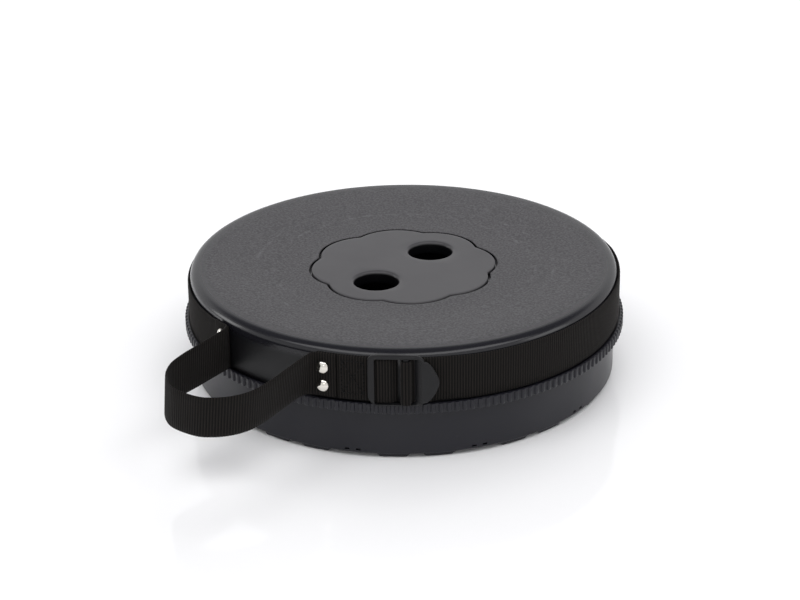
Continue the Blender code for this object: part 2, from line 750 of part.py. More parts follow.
def seat_profile():
    """Closed half section of the seat shell, from the centre of its top out, down and back inside."""
    rise = SEAT_DISH_DEPTH
    edge = SEAT_RADIUS - SEAT_EDGE_RADIUS
    start = SEAT_CENTRE_RADIUS
    profile = [(0.0, SEAT_CENTRE_TOP), (start, SEAT_CENTRE_TOP)]
    for share, height in DISH_CURVE:
        profile.append((start + share * (edge - start), SEAT_CENTRE_TOP + height * rise))
    for step in range(SEAT_EDGE_STEPS + 1):
        swing = math.radians(90.0 * step / SEAT_EDGE_STEPS)
        profile.append(
            (
                edge + SEAT_EDGE_RADIUS * math.sin(swing),
                SEAT_HEIGHT - SEAT_EDGE_RADIUS * (1 - math.cos(swing)),
            )
        )
    profile += [(SEAT_RADIUS, SKIRT_LOW), (SEAT_INNER_RADIUS, SKIRT_LOW)]
    inner_radius = SEAT_INNER_EDGE_RADIUS
    inner_top = SEAT_HEIGHT - SEAT_TOP_THICKNESS
    for swing in (math.pi / 2, math.pi / 4, 0.0):
        profile.append(
            (
                SEAT_INNER_RADIUS - inner_radius * (1 - math.sin(swing)),
                inner_top - inner_radius * (1 - math.cos(swing)),
            )
        )
    share, height = DISH_CURVE[0]
    profile.append((start + share * (edge - start), SEAT_UNDERSIDE + height * rise))
    profile += [(start, SEAT_UNDERSIDE), (start, SEAT_CENTRE_LOW), (0.0, SEAT_CENTRE_LOW)]
    return profile


def make_seat():
    """Seat shell: dished top, rounded edge and skirt, with the cap's pocket and its holes."""
    seat = turned("seat_shell", seat_profile(), SEAT_FACETS, "grained_seat")
    top = SEAT_CENTRE_TOP + SEAT_DISH_DEPTH
    cut = [prism("pocket", lobed_outline(CAP_GAP), POCKET_FLOOR, top, "grained_seat")]
    below = SEAT_CENTRE_LOW - FIT_GAP
    collar = FINGER_HOLE_RADIUS + FINGER_COLLAR_WALL + FIT_GAP
    hole = [(0.0, top), (collar, top), (collar, below), (0.0, below)]
    for side in (-1, 1):
        origin = (0.0, side * FINGER_HOLE_OFFSET, 0.0)
        cut.append(turned("hole", hole, HOLE_FACETS, "grained_seat", origin))
    boss = CAP_BOSS_RADIUS + FIT_GAP
    boss_low = CAP_LOW - CAP_BOSS_DEPTH - FIT_GAP
    socket = [(0.0, top), (boss, top), (boss, boss_low), (0.0, boss_low)]
    for x, y in cap_screw_places():
        cut.append(turned("socket", socket, SMALL_FACETS, "grained_seat", (x, y, 0.0)))
        cut.append(screw_hole((x, y), below, boss_low + FIT_GAP))
    for place in hub_screw_places():
        cut.append(screw_hole(place, SEAT_UNDERSIDE - FIT_GAP, SEAT_CENTRE_TOP - SCREW_COVER))
    cut += [rivet_hole(angle, height) for angle, height in rivet_places()]
    return apply_boolean(seat, cut, "DIFFERENCE")


def rivet_places():
    """Angle and height of the four rivets."""
    half = RIVET_SPACING / 2
    return [(side * RIVET_ANGLE, STRAP_HEIGHT + up * half) for side in (1, -1) for up in (1, -1)]


def lay_out_radially(made, angle, height):
    """Lays a turned piece on its side so that its own +Z points out from the stool."""
    made.rotation_euler = (math.pi / 2, 0.0, math.radians(angle))
    made.location = (*polar(SEAT_RADIUS, angle), height)
    return made


def rivet_hole(angle, height):
    """Cutter for a rivet through the skirt and the webbing on it."""
    radius = RIVET_SHANK_RADIUS + FIT_GAP
    reach = OUTER_LAYER_INNER + 2 * WEB_THICKNESS - SEAT_RADIUS
    depth = -2 * SEAT_WALL
    profile = [(0.0, reach), (radius, reach), (radius, depth), (0.0, depth)]
    return lay_out_radially(turned("rivet_hole", profile, SMALL_FACETS, "nickel"), angle, height)


def make_rivet(name, angle, height):
    """Domed rivet with its tail clinched inside the skirt."""
    head_low = OUTER_LAYER_INNER + WEB_THICKNESS + FIT_GAP - SEAT_RADIUS
    tail_top = -SEAT_WALL - FIT_GAP
    tail_low = tail_top - RIVET_TAIL_HEIGHT
    profile = [(0.0, head_low + RIVET_HEAD_HEIGHT)]
    for step in (1, 2, 3, 4):
        swing = math.radians(90.0 * step / 4)
        profile.append(
            (
                RIVET_HEAD_RADIUS * math.sin(swing),
                head_low + RIVET_HEAD_HEIGHT * math.cos(swing),
            )
        )
    profile += [
        (RIVET_SHANK_RADIUS, head_low),
        (RIVET_SHANK_RADIUS, tail_top),
        (RIVET_TAIL_RADIUS, tail_top),
        (RIVET_TAIL_RADIUS, tail_low),
        (0.0, tail_low),
    ]
    return lay_out_radially(turned(name, profile, RIVET_FACETS, "nickel"), angle, height)


def arc_path(radius, first, last, steps):
    """Plan points along an arc round the stool."""
    return [polar(radius, first + (last - first) * i / steps) for i in range(steps + 1)]


def make_tab():
    """Doubled webbing tab, folded at the buckle and stitched down on itself."""
    axis = math.atan2(TILT_AXIS_PLACE - FIT_GAP, SEAT_RADIUS + TILT_AXIS_DEPTH)
    end = BUCKLE_ANGLE + math.degrees(axis)
    start = STRAP_END_ANGLE
    back = TAB_RETURN_ANGLE
    inner = TAB_INNER
    outer = OUTER_LAYER_INNER + WEB_THICKNESS
    outline = arc_path(inner, start, back, 3)[:-1] + arc_path(inner, back, end, 4)
    outline += arc_path(outer, end, back, 4) + arc_path(inner + WEB_THICKNESS, back, start, 3)
    tab = prism("strap_tab", outline, WEB_LOW, WEB_HIGH, "webbing")
    holes = [rivet_hole(angle, height) for angle, height in rivet_places() if angle > 0]
    return apply_boolean(tab, holes, "DIFFERENCE")


def tilt_origin():
    """Point of the buckle's tilt axis at the strap's height."""
    return (*at_buckle(TILT_AXIS_PLACE, TILT_AXIS_DEPTH), STRAP_HEIGHT)


def filleted(points, radius):
    """The same straight stretches with each corner rounded to this radius, or less on short ones."""
    made = [points[0]]
    for before, corner, after in zip(points, points[1:], points[2:]):
        back = math.dist(before, corner)
        ahead = math.dist(corner, after)
        u = [(p - q) / back for p, q in zip(before, corner)]
        v = [(p - q) / ahead for p, q in zip(after, corner)]
        half = math.acos(max(-1.0, min(1.0, u[0] * v[0] + u[1] * v[1]))) / 2
        reach = min(radius / math.tan(half), 0.49 * back, 0.49 * ahead)
        centre = [c + (p + q) / 2 * reach / math.cos(half) ** 2 for c, p, q in zip(corner, u, v)]
        first = [c + p * reach - m for c, p, m in zip(corner, u, centre)]
        last = [c + q * reach - m for c, q, m in zip(corner, v, centre)]
        sweep = math.pi - 2 * half
        steps = max(1, math.ceil(sweep / CORNER_STEP))
        for i in range(steps + 1):
            t = i / steps
            a = math.sin((1 - t) * sweep) / math.sin(sweep)
            b = math.sin(t * sweep) / math.sin(sweep)
            made.append(tuple(m + a * p + b * q for m, p, q in zip(centre, first, last)))
    made.append(points[-1])
    return made


def loop_ribbon(name, path):
    """Webbing along a path given at the buckle, with its origin on the tilt axis."""
    plan = [at_buckle(along, out) for along, out in filleted(path, WEB_THICKNESS + LAYER_GAP)]
    return ribbon(name, plan, "webbing", tilt_origin(), math.radians(BUCKLE_ANGLE))


def skirt_sag(along):
    """How far the skirt falls away from the buckle's tangent."""
    return along * along / (2 * SEAT_RADIUS)


def bar_box(place, depth, width, thickness):
    """Left, right, low and high of the centre line of webbing that wraps a bar."""
    stand = LAYER_GAP + WEB_THICKNESS / 2
    across = width / 2 + stand
    through = thickness / 2 + stand
    return place - across, place + across, depth - through, depth + through


def make_anchor_loop():
    """The tab's fold over the anchor bar, which tilts with the buckle."""
    start = TILT_AXIS_PLACE + FIT_GAP
    inner = TAB_INNER + WEB_THICKNESS / 2 - SEAT_RADIUS - skirt_sag(start)
    outer = inner + WEB_THICKNESS + LAYER_GAP
    left, right, low, high = bar_box(
        ANCHOR_BAR_PLACE, ANCHOR_BAR_DEPTH, ANCHOR_BAR_WIDTH, ANCHOR_BAR_THICKNESS
    )
    rise = left - ANCHOR_RISE
    path = [(start, outer), (rise, outer + LAYER_GAP), (left + LAYER_GAP, high), (right, high)]
    path += [(right, low), (left + WEB_THICKNESS, low), (rise, inner + LAYER_GAP), (start, inner)]
    return loop_ribbon("anchor_loop", path)


def make_adjuster_loop():
    """The belt's end, threaded up over the ladder bar and down again, which tilts with the buckle."""
    split = BELT_SPLIT_PLACE
    lower = BELT_STANDOFF + WEB_THICKNESS / 2 - skirt_sag(split)
    upper = lower + WEB_THICKNESS + LAYER_GAP
    left, right, low, high = bar_box(
        LADDER_BAR_PLACE, LADDER_BAR_DEPTH, LADDER_BAR_WIDTH, LADDER_BAR_THICKNESS
    )
    path = [(split, lower), (right + LADDER_RISE, lower + LAYER_GAP), (left, low), (left, high)]
    path += [(right, high), (right, LADDER_BAR_DEPTH - LADDER_BAR_THICKNESS / 2)]
    path += [(right + LADDER_RISE, upper + LAYER_GAP), (split, upper)]
    return loop_ribbon("adjuster_loop", path)


def belt_path(first, last):
    """Centre line of the belt, close to the skirt under the handle's end and standing off beyond."""
    made = []
    for i in range(BELT_STEPS + 1):
        angle = first + (last - first) * i / BELT_STEPS
        share = (360.0 - angle - HANDLE_END_ANGLE - BELT_SETTLE_ANGLE) / BELT_SETTLE_ANGLE
        share = max(0.0, min(1.0, share))
        stand = FIT_GAP + (BELT_STANDOFF - FIT_GAP) * share * share * (3 - 2 * share)
        made.append(polar(SEAT_RADIUS + stand + WEB_THICKNESS / 2, angle))
    return made


def make_belt():
    """Belt round the seat's skirt, from the left rivets round the back to the buckle."""
    turn = (BELT_SPLIT_PLACE + FIT_GAP) / (SEAT_RADIUS + BELT_STANDOFF)
    first = BUCKLE_ANGLE + math.degrees(turn)
    last = 360.0 - STRAP_END_ANGLE
    belt = ribbon("strap_belt", belt_path(first, last), "webbing")
    holes = [rivet_hole(angle, height) for angle, height in rivet_places() if angle < 0]
    return apply_boolean(belt, holes, "DIFFERENCE")


def handle_path():
    """Centre line of the carrying loop, riveted over the strap ends, with its lean."""
    layer = HANDLE_LAYER_RADIUS
    root = HANDLE_ROOT_HALF_WIDTH
    half = HANDLE_HALF_WIDTH
    centre = HANDLE_REACH - half
    skirt = -SEAT_RADIUS
    right = [
        (*polar(layer, HANDLE_END_ANGLE), 0.0),
        (*polar(layer, (HANDLE_END_ANGLE + HANDLE_LIFT_ANGLE) / 2), 0.0),
        (*polar(layer, HANDLE_LIFT_ANGLE), 0.0),
        (root + HANDLE_FLARE, skirt - HANDLE_BEND / 5, 0.1 * HANDLE_LEAN),
        (root, skirt - HANDLE_BEND, 0.25 * HANDLE_LEAN),
        (root + HANDLE_FLARE / 3, skirt - 3 * HANDLE_BEND, 0.5 * HANDLE_LEAN),
        (half - HANDLE_FLARE / 2, -centre + half / 2, HANDLE_LEAN),
        (half, -centre + half / 10, HANDLE_LEAN),
    ]
    for angle in (75, 55, 35, 15):
        x, y = polar(half, angle)
        right.append((x, y - centre, 0.7 * HANDLE_LEAN))
    left = [(-x, y, lean) for x, y, lean in reversed(right)]
    return smooth_path(right + left, 2)


def make_handle():
    """Carrying handle: a level loop of webbing on edge."""
    handle = ribbon("strap_handle", handle_path(), "webbing")
    holes = [rivet_hole(angle, height) for angle, height in rivet_places()]
    return apply_boolean(handle, holes, "DIFFERENCE")


def buckle_prism(name, outline, low, high):
    """Prism over an outline given along and out from the skirt at the buckle."""
    return prism(name, [at_buckle(along, out) for along, out in outline], low, high, "buckle_plastic")


def chamfered_bar(left, right, back, front, chamfer):
    """Outline of a bar with its four edges taken off."""
    return [
        (left, back + chamfer),
        (left + chamfer, back),
        (right - chamfer, back),
        (right, back + chamfer),
        (right, front - chamfer),
        (right - chamfer, front),
        (left + chamfer, front),
        (left, front - chamfer),
    ]


def webbing_bar(place, depth, width, thickness):
    """Outline of a bar that webbing wraps, given by its centre."""
    half = width / 2
    side = thickness / 2
    return chamfered_bar(place - half, place + half, depth - side, depth + side, side / 2)


def lift_tab():
    """Half-round tab beyond the right bar, which the thumb lifts to slacken the belt."""
    middle = (BUCKLE_LOW + BUCKLE_HIGH) / 2
    half = (BUCKLE_HIGH - BUCKLE_LOW) / 2 - LIFT_TAB_INSET
    start = RIGHT_BAR_PLACE + RIGHT_BAR_WIDTH / 2
    corner = LIFT_TAB_START + LIFT_TAB_SHOULDER
    rim = [(start, middle - half)]
    for step in range(9):
        swing = math.radians(-90.0 + 180.0 * step / 8)
        along = corner + (LIFT_TAB_END - corner) * math.cos(swing)
        rim.append((along, middle + half * math.sin(swing)))
    rim.append((start, middle + half))
    count = len(rim)
    points = []
    for out in (BUCKLE_FRONT - LIFT_TAB_THICKNESS, BUCKLE_FRONT - BAR_STEP):
        points += [(*at_buckle(along, out), height) for along, height in rim]
    faces = [list(range(count)), list(range(count, 2 * count))]
    for i in range(count):
        j = (i + 1) % count
        faces.append([i, j, j + count, i + count])
    return new_object("lift_tab", points, faces, "buckle_plastic")


def sloped_bar(back, front):
    """Outline of the right bar, whose front slopes down towards the ladder bar."""
    right = LIFT_TAB_START
    nose = BUCKLE_PLATE / 4
    return [
        (RIGHT_BAR_PLACE, back + nose),
        (RIGHT_BAR_PLACE + nose, back),
        (right, back + nose),
        (right, front),
        (RIGHT_BAR_PLACE + RIGHT_BAR_WIDTH / 2, front),
    ]


def rail_outline(back, front):
    """Outline of a rail, which dips behind the anchor bar to hold it."""
    deep = ANCHOR_BAR_DEPTH - ANCHOR_BAR_THICKNESS / 2 - 3 * BAR_STEP
    left = BUCKLE_LEFT + 4 * BAR_STEP
    right = LIFT_TAB_START - 3 * BAR_STEP
    foot = ANCHOR_BAR_WIDTH / 2 + RAIL_FOOT
    return [
        (left, back + 2 * BAR_STEP),
        (ANCHOR_BAR_PLACE - foot, deep),
        (ANCHOR_BAR_PLACE + foot, deep),
        (right, back + 3 * BAR_STEP),
        (right, front - 3 * BAR_STEP),
        (left, front - 3 * BAR_STEP),
    ]


def make_buckle():
    """Ladder-lock buckle: a frame with a left bar, anchor bar, ladder bar, right bar and lift tab."""
    front = BUCKLE_FRONT
    back = front - BUCKLE_PLATE
    left_end = BUCKLE_LEFT + BUCKLE_LEFT_BAR
    left_bar = chamfered_bar(BUCKLE_LEFT, left_end, back, front, BUCKLE_PLATE / 4)
    anchor = (ANCHOR_BAR_PLACE, ANCHOR_BAR_DEPTH, ANCHOR_BAR_WIDTH, ANCHOR_BAR_THICKNESS)
    ladder = (LADDER_BAR_PLACE, LADDER_BAR_DEPTH, LADDER_BAR_WIDTH, LADDER_BAR_THICKNESS)
    rail = rail_outline(back, front)
    rail_low = WEB_LOW - BUCKLE_WEB_CLEARANCE
    rail_high = WEB_HIGH + BUCKLE_WEB_CLEARANCE
    low = [BUCKLE_LOW + step * BAR_STEP for step in range(4)]
    high = [BUCKLE_HIGH - step * BAR_STEP for step in range(4)]
    buckle = buckle_prism("strap_buckle", left_bar, low[0], high[0])
    added = [
        buckle_prism("right_bar", sloped_bar(back, front), low[1], high[1]),
        buckle_prism("lower_rail", rail, low[2], rail_low),
        buckle_prism("upper_rail", rail, rail_high, high[2]),
        buckle_prism("anchor_bar", webbing_bar(*anchor), low[3], high[3]),
        buckle_prism("ladder_bar", webbing_bar(*ladder), low[3], high[3]),
        lift_tab(),
    ]
    apply_boolean(buckle, added, "UNION")
    origin = tilt_origin()
    turn = math.radians(BUCKLE_ANGLE)
    cosine = math.cos(turn)
    sine = math.sin(turn)
    for vertex in buckle.data.vertices:
        dx = vertex.co.x - origin[0]
        dy = vertex.co.y - origin[1]
        across = dx * cosine + dy * sine
        out = dy * cosine - dx * sine
        vertex.co = (across, out, vertex.co.z - origin[2])
    buckle.location = origin
    buckle.rotation_euler = (0.0, 0.0, turn)
    return buckle


def clear_scene():
    """Empties the scene before the stool is built."""
    for old in list(bpy.data.objects):
        bpy.data.objects.remove(old, do_unlink=True)


def main():
    """Builds every piece of the stool."""
    screw_tip = SEAT_CENTRE_TOP - SCREW_COVER - FIT_GAP
    make_base_pan()
    make_base_ring()
    for number in range(1, MOVING_RINGS + 1):
        make_moving_ring(number)
    make_hub()
    hub_head = HUB_TOP - HUB_FLANGE_THICKNESS - FIT_GAP - SCREW_HEAD_HEIGHT
    for i, place in enumerate(hub_screw_places()):
        make_screw("hub_screw_%d" % (i + 1), place, hub_head, screw_tip)
    make_seat()
    make_cap()
    cap_head = SEAT_CENTRE_LOW - FIT_GAP - SCREW_HEAD_HEIGHT
    for i, place in enumerate(cap_screw_places()):
        make_screw("cap_screw_%d" % (i + 1), place, cap_head, screw_tip)
    make_belt()
    make_tab()
    make_anchor_loop()
    make_adjuster_loop()
    make_handle()
    make_buckle()
    for i, (angle, height) in enumerate(rivet_places()):
        make_rivet("rivet_%d" % (i + 1), angle, height)


clear_scene()
FINISHES = {name: make_material(name) for name in MATERIALS}
main()
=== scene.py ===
# %% [markdown]
# # Dressing a telescopic camping stool
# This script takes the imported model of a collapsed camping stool, in which every piece is a plain
# solid, and gives it the surfaces that a camera would see: rounded edges, ribbed webbing, grained
# and satin plastic, and nickel rivets. Each step below says what a piece is on the real stool, how
# it could be made in Blender, and why it is made the way it is here.
#
# Lengths are in millimetres and are scaled to metres where a mesh is made. The stool stands on the
# ground with +Z up, and its carrying loop points to -Y. Angles round the stool are degrees from
# the loop towards +X.

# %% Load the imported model
import json

import bmesh
import bpy
import numpy as np
from mathutils import Matrix, Vector

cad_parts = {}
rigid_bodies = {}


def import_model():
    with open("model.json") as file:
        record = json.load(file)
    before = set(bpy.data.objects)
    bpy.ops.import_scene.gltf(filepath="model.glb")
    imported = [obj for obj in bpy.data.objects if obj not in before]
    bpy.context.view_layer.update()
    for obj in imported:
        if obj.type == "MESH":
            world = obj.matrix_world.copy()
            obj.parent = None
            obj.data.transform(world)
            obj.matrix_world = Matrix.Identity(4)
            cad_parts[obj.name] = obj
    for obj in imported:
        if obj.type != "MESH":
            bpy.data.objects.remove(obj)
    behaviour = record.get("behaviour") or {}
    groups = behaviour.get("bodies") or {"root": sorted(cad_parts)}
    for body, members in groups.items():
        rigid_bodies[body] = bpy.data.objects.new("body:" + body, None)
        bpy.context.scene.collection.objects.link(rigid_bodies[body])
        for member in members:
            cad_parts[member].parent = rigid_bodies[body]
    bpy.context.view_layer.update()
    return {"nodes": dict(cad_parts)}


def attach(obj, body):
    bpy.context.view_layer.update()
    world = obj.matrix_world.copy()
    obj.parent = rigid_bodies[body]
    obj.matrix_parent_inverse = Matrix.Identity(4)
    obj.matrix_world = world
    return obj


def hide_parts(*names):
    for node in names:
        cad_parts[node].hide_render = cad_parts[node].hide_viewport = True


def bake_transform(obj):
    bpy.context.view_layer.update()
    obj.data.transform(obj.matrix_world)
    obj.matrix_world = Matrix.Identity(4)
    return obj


for left_over in list(bpy.data.objects):
    bpy.data.objects.remove(left_over)
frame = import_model()
nodes = frame["nodes"]
MM = 0.001

# %% [markdown]
# ## From arrays to meshes
# Nearly every piece here is a surface over a grid: rows run along a cross-section and columns run
# round the stool or along a strap. Modelling such shapes by hand means extruding and spinning,
# and spins leave double points. Working out all the points at once as arrays keeps the formula of
# a shape in one place, so a size can change without redoing the modelling.


# %% Points and quads
def polar(radius, angle):
    """Plan point: x is radius times the sine, y is minus radius times the cosine of the angle."""
    turn = np.radians(angle)
    return radius * np.sin(turn), -radius * np.cos(turn)


def round_the_stool(radius, angle, height):
    """Points in space from arrays of radius, angle and height that fit one another."""
    return np.stack(np.broadcast_arrays(*polar(radius, angle), height), -1)


def grid_faces(rows, columns, round_rows=True, round_columns=True):
    """Quads between neighbouring rows and columns; a round direction joins its last line to its
    first."""
    i = np.arange(rows if round_rows else rows - 1)[:, None]
    j = np.arange(columns if round_columns else columns - 1)[None, :]
    below = i * columns
    above = (i + 1) % rows * columns
    ahead = (j + 1) % columns
    return np.stack([below + j, below + ahead, above + ahead, above + j], -1).reshape(-1, 4)


print("a closed grid of 3 rows and 8 columns has", len(grid_faces(3, 8)), "quads")


# %% From points to a finished piece
def make_piece(name, points, faces, material, body, marks=None, crease=40.0):
    """Mesh from points in millimetres: doubles merged, faces outward, smooth up to the crease angle."""
    mesh = bpy.data.meshes.new(name)
    mesh.from_pydata((np.reshape(points, (-1, 3)) * MM).tolist(), [], [list(face) for face in faces])
    for mark, values in (marks or {}).items():
        layer = mesh.attributes.new(mark, "FLOAT", "POINT")
        layer.data.foreach_set("value", np.ravel(values).astype(np.float32))
    work = bmesh.new()
    work.from_mesh(mesh)
    bmesh.ops.remove_doubles(work, verts=work.verts, dist=0.002 * MM)
    bmesh.ops.recalc_face_normals(work, faces=work.faces)
    work.to_mesh(mesh)
    work.free()
    mesh.shade_smooth()
    mesh.set_sharp_from_angle(angle=np.radians(crease))
    mesh.materials.append(material)
    piece = bpy.data.objects.new(name, mesh)
    bpy.context.scene.collection.objects.link(piece)
    if body:
        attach(piece, body)
    print(name, len(mesh.polygons), "faces")
    return piece


# %% [markdown]
# ## Colours and nodes
# Colours are given as sRGB hex values, but Blender's shaders work with linear light, so
# one function converts them. A second small function adds any shader node with its settings and
# links in one line and gives back one of its outputs, so a node tree reads from top to bottom.


# %% Colours
def colour(hex_value):
    """Linear red, green, blue and alpha of an sRGB hex colour."""
    parts = np.array([int(hex_value[i : i + 2], 16) for i in (0, 2, 4)]) / 255
    low = parts / 12.92
    high = ((parts + 0.055) / 1.055) ** 2.4
    return (*np.where(parts <= 0.04045, low, high).tolist(), 1.0)


print("hex 808080 is", round(colour("808080")[0], 3), "in linear light")


# %% Nodes
def add(tree, kind, inputs=(), output=0, **settings):
    """Adds a node and gives one of its outputs. The inputs are in order or by name; an input is
    linked when it is given a socket and set when it is given a value."""
    node = tree.nodes.new("ShaderNode" + kind)
    for key, value in settings.items():
        setattr(node, key, value)
    for key, value in inputs.items() if isinstance(inputs, dict) else enumerate(inputs):
        if isinstance(value, bpy.types.NodeSocket):
            tree.links.new(value, node.inputs[key])
        else:
            node.inputs[key].default_value = value
    return node.outputs[output]


# Settings for numbers that are multiplied, and for colours that go from A to B with the factor
TIMES = {"operation": "MULTIPLY"}
COLOURS = {"output": 2, "data_type": "RGBA"}
FACTOR, COLOUR_A, COLOUR_B = 0, 6, 7


# %% Start and end of a material
def start_material(name, base, roughness, **constants):
    """Principled material with its constant values set on the shader's own sockets."""
    material = bpy.data.materials.new(name)
    material.use_nodes = True
    tree = material.node_tree
    shader = tree.nodes["Principled BSDF"]
    shader.inputs["Base Color"].default_value = colour(base)
    shader.inputs["Roughness"].default_value = roughness
    for key, value in constants.items():
        shader.inputs[key.replace("_", " ")].default_value = value
    material.diffuse_color = colour(base)
    return material, tree, shader


def connect(tree, shader, base, roughness=None, bump=None):
    """Links base colour, roughness and a bump, which is (height, strength, depth in millimetres)."""
    tree.links.new(base, shader.inputs["Base Color"])
    if roughness is not None:
        tree.links.new(roughness, shader.inputs["Roughness"])
    if bump is not None:
        height, strength, depth = bump
        raised = add(tree, "Bump", {"Height": height, "Strength": strength, "Distance": depth * MM})
        tree.links.new(raised, shader.inputs["Normal"])


# %% [markdown]
# ## Camera
# The photograph looks down at the stool from about 26 degrees, from the right of the carrying
# loop. The camera's place was worked out from the ellipses of the rim, the flange and the feet. It
# could be aimed with a constraint, but a matrix built from the viewing directions also keeps the
# slight roll of the real camera.

# %% Place the camera
CAMERA_DISTANCE = 1.254
CAMERA_ELEVATION = 26.0
CAMERA_AZIMUTH = 36.3
CAMERA_YAW = -0.107
CAMERA_PITCH = 1.576
CAMERA_ROLL = -0.631
CAMERA_LENS = 97.3

azimuth, elevation, yaw, pitch, roll = np.radians(
    [CAMERA_AZIMUTH, CAMERA_ELEVATION, CAMERA_YAW, CAMERA_PITCH, CAMERA_ROLL]
)
level = Vector((np.sin(azimuth), -np.cos(azimuth), 0.0))
camera_place = CAMERA_DISTANCE * (level * np.cos(elevation) + Vector((0, 0, np.sin(elevation))))
aim = -camera_place.normalized()
side = Vector((np.cos(azimuth), np.sin(azimuth), 0.0))
aim = (aim + side * np.tan(yaw) + side.cross(aim) * np.tan(pitch)).normalized()
side = aim.cross(Vector((0, 0, 1))).normalized()
top = side.cross(aim)
right = side * np.cos(roll) + top * np.sin(roll)
above = top * np.cos(roll) - side * np.sin(roll)
camera_data = bpy.data.cameras.new("camera")
camera_data.lens = CAMERA_LENS
camera_data.clip_start = 0.01
camera_data.clip_end = 50.0
camera = bpy.data.objects.new("camera", camera_data)
camera.matrix_world = Matrix.Translation(camera_place) @ Matrix((right, above, -aim)).transposed().to_4x4()
bpy.context.scene.collection.objects.link(camera)
bpy.context.scene.camera = camera
print("camera at", [round(x, 3) for x in camera.location])

# %% [markdown]
# ## Table and light
# The stool stands on a glossy white sheet that mirrors it softly. Such a table could be a mirror
# mixed with white, but a plastic with a low roughness gives the same by itself: its reflection is
# weak from above and grows towards the horizon.
#
# The rivets and the seat's rounded edge show what stood round the stool: a thin bright line low on
# the edge is a row of windows or lamps behind the camera, and the dark band above it is a dark
# ceiling. So the world has a bright band on the camera's side and is dark overhead. A large panel
# above lights the table and the seat, but it is kept out of reflections, where it would hide the
# dark band.

# %% The table
TABLE_HALF_SIZE = 6.0
TABLE_ROUGHNESS = 0.07

# The plain view transform keeps the table white and the plastic as dark as its colour says
bpy.context.scene.view_settings.view_transform = "Standard"
# Acrylic sheet, cast and polished: its white is even, and it mirrors what stands on it faintly
table_material, tree, shader = start_material(
    "glossy_white_acrylic", "EDEDEE", TABLE_ROUGHNESS, Specular_IOR_Level=0.36
)
place = add(tree, "TexCoord", output="Object")
cloud = add(tree, "TexNoise", {"Vector": place, "Scale": 1.3, "Detail": 2.0})
whites = {FACTOR: cloud, COLOUR_A: colour("F2F2F3"), COLOUR_B: colour("F8F8F8")}
connect(tree, shader, add(tree, "Mix", whites, **COLOURS))
corner = np.array([(-1, -1, 0), (1, -1, 0), (1, 1, 0), (-1, 1, 0)]) * TABLE_HALF_SIZE
table_mesh = bpy.data.meshes.new("table")
table_mesh.from_pydata(corner.tolist(), [], [[0, 1, 2, 3]])
table_mesh.materials.append(table_material)
table = bpy.data.objects.new("table", table_mesh)
bpy.context.scene.collection.objects.link(table)
print("table", 2 * TABLE_HALF_SIZE, "m wide")

# %% The room: bright below, a bright band on the camera's side, and a dark ceiling
HORIZON_COLOUR = "FCFCFD"
CEILING_COLOUR = "707076"
HORIZON_STRENGTH = 0.89
CEILING_EDGE = 0.50, 0.64
BAND_STRENGTH = 2.1
BAND_LOWER_EDGE = 0.60, 0.74
BAND_UPPER_EDGE = 0.97, 0.90
BAND_SIDE_EDGE = 0.0, 0.12

world = bpy.data.worlds.new("studio")
world.use_nodes = True
bpy.context.scene.world = world
sky = world.node_tree
background = sky.nodes["Background"]
view = add(sky, "TexCoord", output="Generated")
upward = add(sky, "SeparateXYZ", (view,), output=2)
to_camera = (*polar(1.0, CAMERA_AZIMUTH), 0.0)
facing = add(sky, "VectorMath", (view, to_camera), output="Value", operation="DOT_PRODUCT")
above_low = add(sky, "MapRange", (upward, *BAND_LOWER_EDGE))
below_high = add(sky, "MapRange", (upward, *BAND_UPPER_EDGE))
on_side = add(sky, "MapRange", (facing, *BAND_SIDE_EDGE))
band = add(sky, "Math", (above_low, below_high), **TIMES)
band = add(sky, "Math", (band, on_side), **TIMES)
overhead = add(sky, "MapRange", (upward, *CEILING_EDGE))
room = {FACTOR: overhead, COLOUR_A: colour(HORIZON_COLOUR), COLOUR_B: colour(CEILING_COLOUR)}
room = add(sky, "Mix", room, **COLOURS)
room = {FACTOR: band, COLOUR_A: room, COLOUR_B: colour(HORIZON_COLOUR)}
sky.links.new(add(sky, "Mix", room, **COLOURS), background.inputs["Color"])
strength = add(sky, "Math", (band, BAND_STRENGTH), **TIMES)
strength = add(sky, "Math", (strength, HORIZON_STRENGTH), operation="ADD")
sky.links.new(strength, background.inputs["Strength"])
print("room with", len(sky.nodes), "nodes")


# %% Light panels
def soft_panel(name, turn, tilt, distance, size, power, mirrored):
    """Square light at an azimuth and elevation round the stool, aimed at its middle."""
    lamp = bpy.data.lights.new(name, "AREA")
    lamp.size = size
    lamp.energy = power
    light = bpy.data.objects.new(name, lamp)
    x, y = polar(distance * np.cos(np.radians(tilt)), turn)
    place = Vector((x, y, distance * np.sin(np.radians(tilt))))
    light.location = place
    light.rotation_mode = "QUATERNION"
    light.rotation_quaternion = place.to_track_quat("Z", "Y")
    light.visible_glossy = mirrored
    bpy.context.scene.collection.objects.link(light)


# Turn from the camera, elevation, distance and size in metres, power in watts, seen in reflections
panels = {
    "overhead_panel": (180, 78, 2.4, 2.2, 15, False),
    "front_panel": (-8, 17, 2.6, 0.8, 2, True),
    "right_panel": (78, 22, 2.4, 1.0, 5, True),
    "left_panel": (-102, 15, 2.4, 0.8, 6, True),
    "back_panel": (165, 50, 1.3, 0.7, 2.6, False),
}
for panel, (turn, *settings) in panels.items():
    soft_panel(panel, CAMERA_AZIMUTH + turn, *settings)
print(len(panels), "panels")
